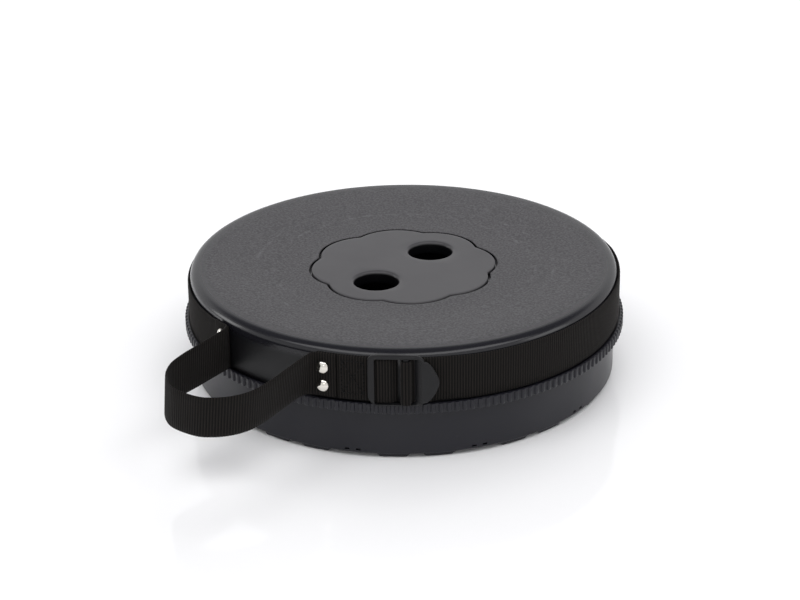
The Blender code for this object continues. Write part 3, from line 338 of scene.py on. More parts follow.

# %% [markdown]
# ## Plastics
# The seat is moulded polypropylene. Its top has the fine grain of a spark-eroded mould, which
# scatters light, while its edge was polished and reflects a soft highlight. The grain could be
# modelled, but it is only a few hundredths of a millimetre deep, so noise turned into a bump does
# it. Masks by the distance from the centre and by the height keep the grain off the polished
# edge, off the skirt and out of the pocket. The skirt is duller than the edge, and its colour is
# painted darker than the edge's as painted shade. Faint rings show where the plastic flowed out
# from the middle of the mould.

# %% Places and lumps in millimetres
def radius_of(tree, place):
    """Distance from the stool's axis in millimetres, from the Object coordinates."""
    flat = add(tree, "VectorMath", (place, (1.0, 1.0, 0.0)), **TIMES)
    length = add(tree, "VectorMath", (flat,), output="Value", operation="LENGTH")
    return add(tree, "Math", (length, 1 / MM), **TIMES)


def height_of(tree, place):
    """Height above the ground in millimetres, from the Object coordinates."""
    height = add(tree, "SeparateXYZ", (place,), output=2)
    return add(tree, "Math", (height, 1 / MM), **TIMES)


def lumps(place, size, detail=2.0, roughness=0.5):
    """Inputs of a noise whose lumps are about this many millimetres apart."""
    return {"Vector": place, "Scale": 1 / (size * MM * 2), "Detail": detail, "Roughness": roughness}


print("lumps 1 mm apart need a scale of", round(lumps(None, 1.0)["Scale"]))

# %% Grained polypropylene for the seat
GRAIN_SIZE = 0.65
GRAIN_DEPTH = 0.2
GRAIN_EDGE_RADIUS = 113.2
GRAIN_FADE = 2.8
FLOW_TURN = 0.62  # radians per millimetre outwards, which is a ring about every 10 mm
CAP_TOP = 59.6
RIM_HEIGHT = 62.9


def flow_marks(tree, place, radius):
    """Thin broken rings: a sine of the wobbling radius, kept between two distances from the middle."""
    broken = add(tree, "MapRange", (add(tree, "TexNoise", lumps(place, 5.0, 4.0, 0.7)), 0.5, 0.66))
    wobble = add(tree, "MapRange", (add(tree, "TexNoise", lumps(place, 40.0)), 0.3, 0.7, -2.5, 2.5))
    turns = add(tree, "Math", (wobble, radius), operation="ADD")
    rings = add(tree, "Math", (add(tree, "Math", (turns, FLOW_TURN), **TIMES),), operation="SINE")
    thin = add(tree, "MapRange", (rings, 0.75, 1.0))
    past_middle = add(tree, "MapRange", (radius, 62.0, 76.0))
    before_rim = add(tree, "MapRange", (radius, 96.0, 82.0))
    near = add(tree, "Math", (past_middle, before_rim), **TIMES)
    flow = add(tree, "Math", (add(tree, "Math", (thin, near), **TIMES), broken), **TIMES)
    return add(tree, "Math", (flow, 0.5), **TIMES)


# Spark-eroded grain is usually about 0.3 mm apart. It is drawn twice as coarse, so that it shows.
def grained_polypropylene():
    """Fine even grain, dull on top and satin on the polished edge, with faint marks of the flow."""
    material, tree, shader = start_material(
        "grained_polypropylene", "3A393D", 0.62, Specular_IOR_Level=0.42
    )
    place = add(tree, "TexCoord", output="Object")
    radius = radius_of(tree, place)
    height = height_of(tree, place)
    fade = GRAIN_EDGE_RADIUS + GRAIN_FADE, GRAIN_EDGE_RADIUS - GRAIN_FADE
    inward = add(tree, "MapRange", (radius, *fade))
    above_pocket = add(tree, "MapRange", (height, CAP_TOP - 0.7, CAP_TOP - 0.2))
    on_top = add(tree, "Math", (inward, above_pocket), **TIMES)
    skirt_shade_and_dullness = add(tree, "MapRange", (height, RIM_HEIGHT - 6.0, RIM_HEIGHT - 9.0))
    grain = add(tree, "TexNoise", lumps(place, GRAIN_SIZE, 3.0, 0.65))
    cloud = add(tree, "TexNoise", lumps(place, 24.0, 3.0))
    base = {FACTOR: cloud, COLOUR_A: colour("333234"), COLOUR_B: colour("3D3C3E")}
    base = add(tree, "Mix", base, **COLOURS)
    speck = add(tree, "Math", (add(tree, "MapRange", (grain, 0.40, 0.62)), 0.85), **TIMES)
    base = add(tree, "Mix", {FACTOR: speck, COLOUR_A: base, COLOUR_B: colour("545355")}, **COLOURS)
    flow = flow_marks(tree, place, radius)
    base = add(tree, "Mix", {FACTOR: flow, COLOUR_A: base, COLOUR_B: colour("6A696C")}, **COLOURS)
    # Painted shade: on the skirt the colour goes darker than on the polished edge
    edge = {FACTOR: skirt_shade_and_dullness, COLOUR_A: colour("18181C"), COLOUR_B: colour("0B0B0E")}
    edge = add(tree, "Mix", edge, **COLOURS)
    base = add(tree, "Mix", {FACTOR: on_top, COLOUR_A: edge, COLOUR_B: base}, **COLOURS)
    gloss = add(tree, "MapRange", (on_top, 0.0, 1.0, 0.20, 0.60))
    duller = add(tree, "Math", (skirt_shade_and_dullness, 0.3), **TIMES)
    gloss = add(tree, "Math", (gloss, duller), operation="ADD")
    connect(tree, shader, base, gloss, (add(tree, "Math", (grain, on_top), **TIMES), 1.0, GRAIN_DEPTH))
    return material


seat_plastic = grained_polypropylene()
print("seat plastic, grain of", GRAIN_SIZE, "mm")

# %% [markdown]
# The base, the rings and the cap are the same plastic from a polished mould, satin and nearly
# black with a blue cast; the cap is paler on top, and below its top its colour is painted black as
# painted shade, for the insides of the finger holes where no light gets in.
# A perfectly even roughness looks like computer plastic, so a slow noise makes it duller in
# places, as handling does, and thin scuffs run the way the base is set down.


# %% Satin polypropylene for the base, rings and cap
def satin_polypropylene(name, base, lighter, roughness, scuff_colour, painted_shade_below=None):
    """Smooth moulded plastic with a slight orange peel, uneven gloss, a few thin scuffs and, below an
    optional height, black painted shade.
    """
    material, tree, shader = start_material(name, base, roughness, Specular_IOR_Level=0.3)
    place = add(tree, "TexCoord", output="Object")
    cloud = add(tree, "TexNoise", lumps(place, 18.0, 3.0))
    shades = {FACTOR: cloud, COLOUR_A: colour(base), COLOUR_B: colour(lighter)}
    shade = add(tree, "Mix", shades, **COLOURS)
    stretch = {"Vector": place, "Scale": (1.0, 0.12, 1.0), "Rotation": (0, 0, 0.5)}
    scratch = add(tree, "TexNoise", lumps(add(tree, "Mapping", stretch), 1.1, 3.0, 0.6))
    scratch = add(tree, "MapRange", (scratch, 0.66, 0.72))
    rare = add(tree, "MapRange", (add(tree, "TexNoise", lumps(place, 14.0, 1.0)), 0.58, 0.70))
    scuff = add(tree, "Math", (scratch, rare), **TIMES)
    faint = add(tree, "Math", (scuff, 0.4), **TIMES)
    worn = {FACTOR: faint, COLOUR_A: shade, COLOUR_B: colour(scuff_colour)}
    worn = add(tree, "Mix", worn, **COLOURS)
    if painted_shade_below is not None:
        # Painted shade: below this height the colour goes black, for the shade inside the finger holes
        low = add(tree, "MapRange", (height_of(tree, place), painted_shade_below, painted_shade_below - 1.0))
        worn = add(tree, "Mix", {FACTOR: low, COLOUR_A: worn, COLOUR_B: colour("050507")}, **COLOURS)
    gloss = add(tree, "MapRange", (cloud, 0.3, 0.7, roughness - 0.04, roughness + 0.06))
    duller = add(tree, "Math", (scuff, 0.15), **TIMES)
    gloss = add(tree, "Math", (gloss, duller), operation="ADD")
    connect(tree, shader, worn, gloss, (add(tree, "TexNoise", lumps(place, 0.9)), 0.25, 0.03))
    return material


base_plastic = satin_polypropylene("satin_polypropylene", "17171D", "1B1B21", 0.32, "36363B")
ring_plastic = satin_polypropylene("satin_polypropylene_rings", "1E1E21", "232326", 0.38, "3A3A3E")
cap_plastic = satin_polypropylene(
    "satin_polypropylene_cap", "3E3D3F", "424143", 0.34, "5B5A5C", painted_shade_below=CAP_TOP - 0.7
)
print("three satin plastics")

# %% [markdown]
# ## Seat and cap
# The seat is a dished disc with a lobed pocket in its middle, and a cap with two finger holes
# fills the pocket. Cutting the holes with a Boolean would leave long thin faces that shade badly.
# Here each half of the middle is a fan of rows that runs from its round hole out to the boundary,
# and a second grid carries the rest of the cross-section all the way round. Where the grids meet
# they share points, which are merged.

# %% Outline of the cap
LOBES = 8
LOBE_TIP = 52.6
LOBE_CUSP = 48.6
CUSP_ROUNDING = 0.35

half_lobe = np.pi / LOBES
cusp_x = LOBE_CUSP * np.sin(half_lobe)
bulge = LOBE_TIP - LOBE_CUSP * np.cos(half_lobe)
lobe_arc = (cusp_x**2 + bulge**2) / (2 * bulge)
lobe_centre = LOBE_TIP - lobe_arc


def lobed(angle, grow):
    """Radius of the outline: the ray at this angle meets one of eight arcs, and the cusps are eased."""
    reach = []
    for neighbour in (-1, 0, 1):
        swing = (angle + half_lobe) % (2 * half_lobe) - half_lobe + neighbour * 2 * half_lobe
        across = np.minimum(np.abs(lobe_centre * np.sin(swing)), lobe_arc + grow)
        reach.append(lobe_centre * np.cos(swing) + np.sqrt((lobe_arc + grow) ** 2 - across**2))
    eased = np.logaddexp.reduce(np.array(reach) / CUSP_ROUNDING, axis=0)
    return CUSP_ROUNDING * eased


print("lobes of radius", round(lobe_arc, 1), "mm")


# %% A plate with two holes
HOLE_OFFSET = 26.0
RIM_COLUMNS = 480
MIDDLE_COLUMNS = 60
FAN_ROWS = 6


def rim_radius(kind, amount, angle):
    """Radius at each angle of a row that is a plain circle, or a lobed outline grown by an amount."""
    return np.full_like(angle, amount) if kind == "circle" else lobed(angle, amount)


def rows_of(kind, pairs):
    """Rim rows of one kind from pairs of radius, or growth, and height."""
    return [(kind, amount, height) for amount, height in pairs]


def at_height(plan, height):
    """Points in space from plan points and one height."""
    return np.concatenate([plan, np.full((*plan.shape[:-1], 1), height)], -1)


def plate_with_two_holes(name, hole_rows, rim_rows, material, body):
    """Closed plate. The hole rows are (radius, height) from its underside up to its top around each
    hole; the rim rows are (kind, amount, height) from the top's boundary out, down and back below."""
    angle = np.arange(RIM_COLUMNS) / RIM_COLUMNS * 2 * np.pi
    circle = np.stack([np.cos(angle), np.sin(angle)], -1)
    rows = [at_height(circle * rim_radius(kind, amount, angle)[:, None], z) for kind, amount, z in rim_rows]
    points = [np.concatenate(rows)]
    faces = [grid_faces(len(rows), RIM_COLUMNS, round_rows=False)]
    half = RIM_COLUMNS // 2
    arc = np.arange(half + 1) / half * np.pi
    share = np.linspace(0.0, 1.0, FAN_ROWS)[:, None, None]
    fans = []
    for (kind, amount, height), (radius, _) in ((rim_rows[-1], hole_rows[0]), (rim_rows[0], hole_rows[-1])):
        edge = rim_radius(kind, amount, arc)
        curve = np.stack([edge * np.cos(arc), edge * np.sin(arc)], -1)
        line = np.linspace(-edge[-1], edge[0], MIDDLE_COLUMNS + 1)[1:-1, None] * (1, 0)
        boundary = np.concatenate([curve, line])
        ray = boundary - [0.0, HOLE_OFFSET]
        unit = ray / np.linalg.norm(ray, axis=1)[:, None]
        near = unit * radius + [0.0, HOLE_OFFSET]
        fans.append(at_height(near + share * (boundary - near), height))
    inner = [at_height(unit * r + [0.0, HOLE_OFFSET], height)[None] for r, height in hole_rows[1:-1]]
    chain = np.concatenate([fans[0][::-1], *inner, fans[1]])
    for flip in (1, -1):
        start = sum(len(block) for block in points)
        points.append((chain * (flip, flip, 1)).reshape(-1, 3))
        faces.append(grid_faces(len(chain), len(boundary), round_rows=False) + start)
    return make_piece(name, np.concatenate(points), np.concatenate(faces), material, body)


# %% Arcs in a cross-section
def quarter(centre, radius, first, last, steps):
    """Points of an arc in a cross-section: centre plus radius times cosine and sine of the swing."""
    swing = np.radians(np.linspace(first, last, steps))
    return [(centre[0] + radius * c, centre[1] + radius * s) for c, s in zip(np.cos(swing), np.sin(swing))]


print("a quarter in 3 points:", [(round(x, 2), round(y, 2)) for x, y in quarter((0, 0), 1.0, 90, 0, 3)])

# %% [markdown]
# The cap's edge is only slightly rounded, and each finger hole has a rounded lead-in of 2 mm that
# goes down into a short collar. The collar hides the seat's own thickness inside the hole.

# %% The cap
CAP_LOW = 57.4
HOLE_RADIUS = 12.5
LEAD_IN = 2.0
COLLAR_OUTSIDE = 14.3
COLLAR_LOW = 52.8

lead = quarter((HOLE_RADIUS + LEAD_IN, CAP_TOP - LEAD_IN), LEAD_IN, 180, 90, 7)
cap_hole = [(COLLAR_OUTSIDE, CAP_LOW), (COLLAR_OUTSIDE, COLLAR_LOW + 0.2)]
cap_hole += [(COLLAR_OUTSIDE - 0.2, COLLAR_LOW), (HOLE_RADIUS + 0.2, COLLAR_LOW)]
cap_hole += [(HOLE_RADIUS, COLLAR_LOW + 0.2), *lead]
cap_edge = quarter((-0.6, CAP_TOP - 0.4), 0.4, 90, 0, 4)
cap_edge += [(-0.2, CAP_LOW + 0.2), (-0.4, CAP_LOW), (-2.0, CAP_LOW)]
cap_rim = rows_of("lobed", [(-2.0, CAP_TOP), *cap_edge])
cap = plate_with_two_holes("center_cap_moulded", cap_hole, cap_rim, cap_plastic, "seat")
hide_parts("center_cap")

# %% [markdown]
# The seat's cross-section starts at the floor of the pocket, climbs its wall, crosses the dish,
# turns over the polished edge and comes down the skirt. The edge is two arcs, a wide one that
# leaves the dish and a tighter one that ends at the skirt, because the photograph's highlight is
# thin there. Inside, the section goes back under the seat to the holes, so the piece is closed and
# has the wall thickness of the real one.

# %% The seat's edge and dish
SKIRT_RADIUS = 121.0
DISH_START = 56.0
RIM_EASE = 10.0
RIM_ROUNDING = 4.5
EASE_ANGLE = 12

tighter = RIM_EASE - RIM_ROUNDING
across, up = np.cos(np.radians(90 - EASE_ANGLE)), np.sin(np.radians(90 - EASE_ANGLE))
rim_start = SKIRT_RADIUS - RIM_ROUNDING - tighter * across
easing = quarter((rim_start, RIM_HEIGHT - RIM_EASE), RIM_EASE, 90, 90 - EASE_ANGLE, 5)
rounding_centre = (rim_start + tighter * across, RIM_HEIGHT - RIM_EASE + tighter * up)
rounding = easing + quarter(rounding_centre, RIM_ROUNDING, 90 - EASE_ANGLE, 0, 11)[1:]


def dish(radius):
    """Height of the seat's top: a smooth step from the centre's level up to the rim's."""
    share = np.clip((radius - DISH_START) / (rim_start - DISH_START), 0, 1)
    return CAP_TOP + (RIM_HEIGHT - CAP_TOP) * share**2 * (3 - 2 * share)


print("the edge starts", round(rim_start, 1), "mm from the middle")

# %% The seat
POCKET_GAP = 1.3
POCKET_FLOOR = 57.1
POCKET_BORDER = 2.4
MIDDLE_RADIUS = 45.0
SKIRT_LOW = 33.8
SKIRT_INSIDE = 118.2
INSIDE_ROUNDING = 4.4
TOP_THICKNESS = 3.0
PLATE_LOW = 52.6
PLATE_RADIUS = 56.0
SEAT_HOLE = 14.6

seat_hole = [(SEAT_HOLE, PLATE_LOW), (SEAT_HOLE, PLATE_LOW + 0.1), (SEAT_HOLE, POCKET_FLOOR)]
pocket = [(POCKET_GAP - 0.2, POCKET_FLOOR), (POCKET_GAP, POCKET_FLOOR + 0.2)]
pocket += quarter((POCKET_GAP + 0.3, CAP_TOP - 0.3), 0.3, 180, 90, 4) + [(POCKET_BORDER, CAP_TOP)]
shell = [(r, dish(r)) for r in np.linspace(DISH_START + 0.5, rim_start - 0.5, 22)] + rounding
shell += [(SKIRT_RADIUS, SKIRT_LOW + 0.4), (SKIRT_RADIUS - 0.4, SKIRT_LOW)]
shell += [(SKIRT_INSIDE + 0.4, SKIRT_LOW), (SKIRT_INSIDE, SKIRT_LOW + 0.4)]
inside_corner = (SKIRT_INSIDE - INSIDE_ROUNDING, RIM_HEIGHT - TOP_THICKNESS - INSIDE_ROUNDING)
shell += quarter(inside_corner, INSIDE_ROUNDING, 0, 90, 5)
shell += [(r, dish(r) - TOP_THICKNESS) for r in np.linspace(108.0, PLATE_RADIUS, 9)]
shell += [(PLATE_RADIUS, PLATE_LOW), (MIDDLE_RADIUS, PLATE_LOW)]
seat_rim = rows_of("circle", [(MIDDLE_RADIUS, POCKET_FLOOR)]) + rows_of("lobed", pocket)
seat_rim += rows_of("circle", shell)
seat = plate_with_two_holes("seat_moulded", seat_hole, seat_rim, seat_plastic, "seat")
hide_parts("seat_shell")

# %% [markdown]
# ## Base
# The base is a shallow pan that stands on eleven pairs of low pads. Its underside could be built
# from separate blocks, but on the real moulding they are one skin, and their ends slope a little so
# that the part leaves its mould. So the underside is one surface of revolution whose height also
# depends on the angle. The columns follow the pads, which keeps every pad the same. Between two
# pairs of pads the wall has two small slots.

# %% Angles of the pads and slots
PAIR_COUNT = 11
PAIR_START = -4.4
PAD_ANGLE = 9.7
PAD_SPLIT = 2.2
PAD_SLOPE = 1.5
SLOT_OFFSET = 1.45
SLOT_ANGLE = 1.2
EDGE_SLIT = 0.02


def filled_up(edges, period, step):
    """Sorted angles of one period: the given edges and even steps between those that lie apart."""
    edges = sorted(edges)
    made = []
    for start, end in zip(edges, edges[1:] + [edges[0] + period]):
        count = max(1, int(np.ceil((end - start) / step)))
        made.append(np.linspace(start, end, count, endpoint=False))
    return np.concatenate(made)


pair_pitch = 360 / PAIR_COUNT
pads = np.array([0.0, PAD_ANGLE + PAD_SPLIT])
gap_middle = (PAD_ANGLE * 2 + PAD_SPLIT + pair_pitch) / 2
slots = gap_middle + np.array([-SLOT_OFFSET, SLOT_OFFSET])
pad_slope = np.array([0, PAD_SLOPE / 2, PAD_SLOPE])
slot_end = SLOT_ANGLE / 2 + np.array([0, EDGE_SLIT])
pair_edges = np.concatenate([pads + at for at in (*pad_slope, *(PAD_ANGLE - pad_slope))])
pair_edges = [*pair_edges, *np.concatenate([slots + at for at in (*slot_end, *-slot_end)])]
pair_columns = filled_up(pair_edges, pair_pitch, 1.5)
pan_angle = (PAIR_START + pair_pitch * np.arange(PAIR_COUNT)[:, None] + pair_columns).ravel()
local = np.tile(pair_columns, PAIR_COUNT)
from_end = np.minimum(local[:, None] - pads, pads + PAD_ANGLE - local[:, None]).max(1)
on_pad = np.clip(from_end / PAD_SLOPE, 0, 1)
on_pad = on_pad**2 * (3 - 2 * on_pad)
in_slot = (np.abs(local[:, None] - slots) <= SLOT_ANGLE / 2 + EDGE_SLIT / 2).any(1)

print(len(pan_angle), "columns round the base")

# %% The base
SLOT_LOW = 3.9
SLOT_HIGH = 5.0
SLOT_DEPTH = 1.6
BASE_RADIUS = 119.9
BASE_INSIDE = 116.6
BASE_WALL_TOP = 33.2
BOSS_RADIUS = 20.0
UNDERSIDE = 2.7
PADS_INSIDE = 101.2
PADS_OUTSIDE = 118.1
FLOOR_TOP = 4.0

# Each row is its radius, its height, how far it drops on a pad and how far it sinks in at a slot
pan_rows = [(0.0, 0.0, 0, 0), (BOSS_RADIUS - 0.6, 0.0, 0, 0), (BOSS_RADIUS, 0.4, 0, 0)]
pan_rows += [(BOSS_RADIUS, 1.6, 0, 0), (BOSS_RADIUS + 0.4, 1.8, 0, 0), (60.0, UNDERSIDE, 0, 0)]
pad_rows = [(PADS_INSIDE - 0.3, 0), (PADS_INSIDE, 2.3), (PADS_INSIDE + 0.5, UNDERSIDE)]
pad_rows += [(PADS_OUTSIDE - 0.8, UNDERSIDE), (PADS_OUTSIDE - 0.3, 2.5), (PADS_OUTSIDE, 2.1)]
pan_rows += [(radius, UNDERSIDE, drop, 0) for radius, drop in pad_rows + [(PADS_OUTSIDE + 0.05, 0)]]
pan_rows += [(r, z, 0, 0) for r, z in quarter((119.3, 3.3), 0.6, 270, 360, 5)]
pan_rows += [(BASE_RADIUS, SLOT_LOW, 0, 0), (BASE_RADIUS, SLOT_LOW, 0, SLOT_DEPTH)]
pan_rows += [(BASE_RADIUS, SLOT_HIGH, 0, SLOT_DEPTH), (BASE_RADIUS, SLOT_HIGH, 0, 0)]
pan_rows += [(BASE_RADIUS, 18.0, 0, 0), (BASE_RADIUS, BASE_WALL_TOP - 0.2, 0, 0)]
pan_rows += [(BASE_RADIUS - 0.2, BASE_WALL_TOP, 0, 0), (BASE_INSIDE + 0.2, BASE_WALL_TOP, 0, 0)]
pan_rows += [(BASE_INSIDE, BASE_WALL_TOP - 0.2, 0, 0), (BASE_INSIDE, FLOOR_TOP + 0.3, 0, 0)]
pan_rows += [(BASE_INSIDE - 0.3, FLOOR_TOP, 0, 0), (60.0, FLOOR_TOP, 0, 0), (0.0, FLOOR_TOP, 0, 0)]
pan = np.array(pan_rows)[:, :, None]
pan_radius = pan[:, 0] - pan[:, 3] * in_slot
pan_height = pan[:, 1] - pan[:, 2] * on_pad
pan_points = round_the_stool(pan_radius, pan_angle, pan_height)
pan_faces = grid_faces(len(pan_rows), len(pan_angle), round_rows=False)
base = make_piece("base_moulded", pan_points, pan_faces, base_plastic, "base")
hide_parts("base_pan")

# %% [markdown]
# A flange with square teeth runs round the top of the base, and the hand grips it to turn the
# seat loose. 184 teeth as separate objects would be heavy. Instead the ring's outer radius is a
# square wave of the angle, with eight columns to a tooth and its two rims slightly rounded. Behind
# the teeth is a groove, which lets the strap slip down a little at the back of the stool.

# %% The toothed flange
TOOTH_COUNT = 184
FLANGE_RADIUS = 125.0
TOOTH_DEPTH = 0.8
TOOTH_SHARE = 0.52
FLANGE_LOW = 28.9
FLANGE_TOP = 34.4
FLANGE_STEP = 31.0
FLANGE_STEP_RADIUS = 123.1

tooth_columns = np.array([-0.34, -0.27, -0.17, 0.17, 0.27, 0.34, 0.43, 0.57]) * TOOTH_SHARE / 0.6
tooth_shape = np.array([0.0, 0.7, 1.0, 1.0, 0.7, 0.0, 0.0, 0.0])
tooth_angle = ((np.arange(TOOTH_COUNT)[:, None] + tooth_columns) * 360 / TOOTH_COUNT).ravel()
tooth_tip = FLANGE_RADIUS - TOOTH_DEPTH * (1 - np.tile(tooth_shape, TOOTH_COUNT))
# Each row is a radius or, with a one behind it, a distance that is added to the teeth's outline
flange_rows = [(BASE_RADIUS - 1.3, FLANGE_LOW, 0), (0, FLANGE_LOW, 1), (0.3, FLANGE_LOW + 0.1, 1)]
flange_rows += [(0.5, FLANGE_LOW + 0.5, 1), (0.5, FLANGE_TOP - 0.5, 1), (0.3, FLANGE_TOP - 0.1, 1)]
flange_rows += [(0, FLANGE_TOP, 1), (FLANGE_STEP_RADIUS, FLANGE_TOP, 0)]
flange_rows += [(FLANGE_STEP_RADIUS - 0.2, FLANGE_STEP, 0), (BASE_RADIUS - 1.3, FLANGE_STEP, 0)]
rim = np.array(flange_rows)[:, :, None]
flange_points = round_the_stool(rim[:, 0] + rim[:, 2] * (tooth_tip - 0.5), tooth_angle, rim[:, 1])
flange_faces = grid_faces(len(flange_rows), len(tooth_angle))
flange = make_piece("base_flange", flange_points, flange_faces, base_plastic, "base")
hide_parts("base_pan")

# %% [markdown]
# ## Telescopic rings
# Ten thin cylinders stand inside one another. All but the outermost have four lugs outside at the
# bottom, and each has a lip, four ledges and the stops beside them inside at the top, so that a
# turn of the seat locks the stack. One function makes any of them: the radius of each row changes
# where a lug, ledge or stop is, and a narrow pair of columns at each of their ends makes the step
# upright.

# %% Where the lugs, ledges and stops are
LUG_HALF = 5.25
LEDGE_MIDDLE = -12.0
STOP_GAP = 0.25
REST_STOP = 6.5
END_STOP = 1.5

lug_ends = [-LUG_HALF, LUG_HALF]
ledge_ends = [LEDGE_MIDDLE - LUG_HALF, LEDGE_MIDDLE + LUG_HALF]
stop_ends = [LUG_HALF + STOP_GAP, LUG_HALF + STOP_GAP + REST_STOP, ledge_ends[0] - END_STOP]
ends = lug_ends + ledge_ends + stop_ends
ring_edges = [end + slit for end in ends for slit in (-EDGE_SLIT, EDGE_SLIT)]
quarter_columns = filled_up(ring_edges, 90.0, 3.0)
ring_angle = (90.0 * np.arange(4)[:, None] + quarter_columns).ravel()
turned = (ring_angle + 45) % 90 - 45
lug_here = (np.abs(turned) < LUG_HALF).astype(float)
ledge_here = (np.abs(turned - LEDGE_MIDDLE) < LUG_HALF).astype(float)
rest_here = (turned > stop_ends[0]) & (turned < stop_ends[1])
stop_here = (rest_here | ((turned > stop_ends[2]) & (turned < ledge_ends[0]))).astype(float)
block_here = np.maximum(ledge_here, stop_here)
nothing = np.zeros_like(ring_angle)
print(len(ring_angle), "columns round a ring")

# %% Rings
RING_LOW = 4.3
RING_TOP = 55.8
RING_WALL = 2.2
REACH = 2.0
RING_PITCH = 4.6
RING_GAP = 0.4
RING_ROUNDING = 0.3
LUG_TOP = 10.3
LEDGE_LOW = 44.2
LEDGE_TOP = 46.7
LIP_LOW = 53.3


def telescopic_ring(number):
    """Ring from rows of (distance from the outside, height, how far it reaches out or in)."""
    lug = nothing if number == 0 else lug_here
    lip = nothing + 1
    e = RING_ROUNDING
    w = RING_WALL
    rows = [(-e, RING_LOW, lug), (0, RING_LOW + e, lug), (0, LUG_TOP - e, lug), (-e, LUG_TOP, lug)]
    rows += [(0, LUG_TOP, nothing), (0, 30.0, nothing), (0, RING_TOP - e, nothing), (-e, RING_TOP, nothing)]
    rows += [(-w + e, RING_TOP, -lip), (-w, RING_TOP - e, -lip), (-w, LIP_LOW, -lip)]
    rows += [(-w, LIP_LOW, -stop_here), (-w, LEDGE_TOP, -stop_here), (-w, LEDGE_TOP, -block_here)]
    rows += [(-w, LEDGE_LOW, -block_here), (-w, LEDGE_LOW, nothing), (-w, RING_LOW + e, nothing)]
    rows += [(-w + e, RING_LOW, nothing)]
    outside = BASE_INSIDE - RING_GAP - RING_PITCH * number
    radius = np.array([outside + out + REACH * reach for out, _, reach in rows])
    height = np.array([row[1] for row in rows])[:, None]
    node = "base_ring" if number == 0 else "telescopic_ring_%d" % number
    body = "base" if number == 0 else "ring_%d" % number
    points = round_the_stool(radius, ring_angle, height)
    faces = grid_faces(len(rows), len(ring_angle))
    ring = make_piece("section_%d" % number, points, faces, ring_plastic, body)
    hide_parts(node)
    return ring


sections = [telescopic_ring(number) for number in range(10)]
print(len(sections), "sections")

# %% [markdown]
# ## Webbing
# The strap and the carrying loop are 25 mm polyester webbing. Its weft makes ribs across the strap
# about 1.5 mm apart, which catch the light, so they are part of the mesh: a flat rounded section is
# carried along a path, and its thickness swells and shrinks with the distance. The distances along
# and across are kept as attributes, so the material's threads follow the strap round every bend.


# %% Webbing along a path
WEB_LOW = 35.2
WEB_HIGH = 60.3
WEB_MIDDLE = (WEB_LOW + WEB_HIGH) / 2
WEB_THICKNESS = 1.2
RIB_PITCH = 1.5
RIB_DEPTH = 0.3
WARP_PITCH = 0.8
LAYER_GAP = 0.2


def resample(path, step):
    """Points at even distances along a polyline of any number of coordinates, and the distances."""
    path = np.asarray(path, float)
    travelled = np.concatenate([[0], np.cumsum(np.linalg.norm(np.diff(path[:, :2], axis=0), axis=1))])
    count = int(np.ceil(travelled[-1] / step)) + 1
    even = np.linspace(0, travelled[-1], count)
    return np.stack([np.interp(even, travelled, path[:, k]) for k in range(path.shape[1])], 1), even


def webbing(name, path, material, body):
    """Webbing on edge: the plan path gives its middle. Two more values shift its top in plan by so
    much per millimetre of height, and a fifth lowers it. Each face is half the thickness away,
    less the rib's depth times a cosine of the distance."""
    path = np.concatenate([path, np.zeros((len(path), 5 - np.shape(path)[1]))], 1)
    middle, along = resample(path, RIB_PITCH / 4)
    tangent = np.gradient(middle[:, :2], axis=0)
    tangent /= np.linalg.norm(tangent, axis=1)[:, None]
    normal = np.stack([tangent[:, 1], -tangent[:, 0]], 1)
    half = (WEB_HIGH - WEB_LOW) / 2
    edge = [-half, -half + 0.12, -half + 0.5]
    across = np.array([*edge, -8.0, -4.0, 0.0, 4.0, 8.0, half - 0.5, half - 0.12])
    thick = np.array([0.0, 0.55, 0.92, 1.0, 1.0, 1.0, 1.0, 1.0, 0.92, 0.55])
    across, thick = np.concatenate([across, -across]), np.concatenate([thick, -thick])
    rib = RIB_DEPTH * (0.5 - 0.5 * np.cos(2 * np.pi * along / RIB_PITCH))
    ease = np.clip(np.minimum(along, along[-1] - along) / 0.5, 0.35, 1)
    out = thick[:, None] * (WEB_THICKNESS / 2 - rib) * ease
    plan = middle[:, :2] + normal * out[..., None] + middle[:, 2:4] * across[:, None, None]
    height = WEB_MIDDLE + across[:, None] - middle[:, 4]
    points = np.concatenate([plan, height[..., None]], -1)
    rows, columns = out.shape
    faces = grid_faces(rows, columns, round_columns=False).tolist()
    faces += [[r * columns + c for r in range(rows)] for c in (0, columns - 1)]
    spread = np.broadcast_arrays(along, across[:, None])
    marks = {"along": spread[0], "across": spread[1]}
    return make_piece(name, points, faces, material, body, marks, crease=75.0)


# %% [markdown]
# The black polyester is not quite black. Where the light catches its ribs and threads the colour is
# painted lighter as a painted highlight, and the valleys between the ribs are painted dark as painted
# shade. Colour and roughness follow the along and across attributes, with warp threads 0.8 mm apart.
# They are finer on real webbing and are drawn coarser so that they show.


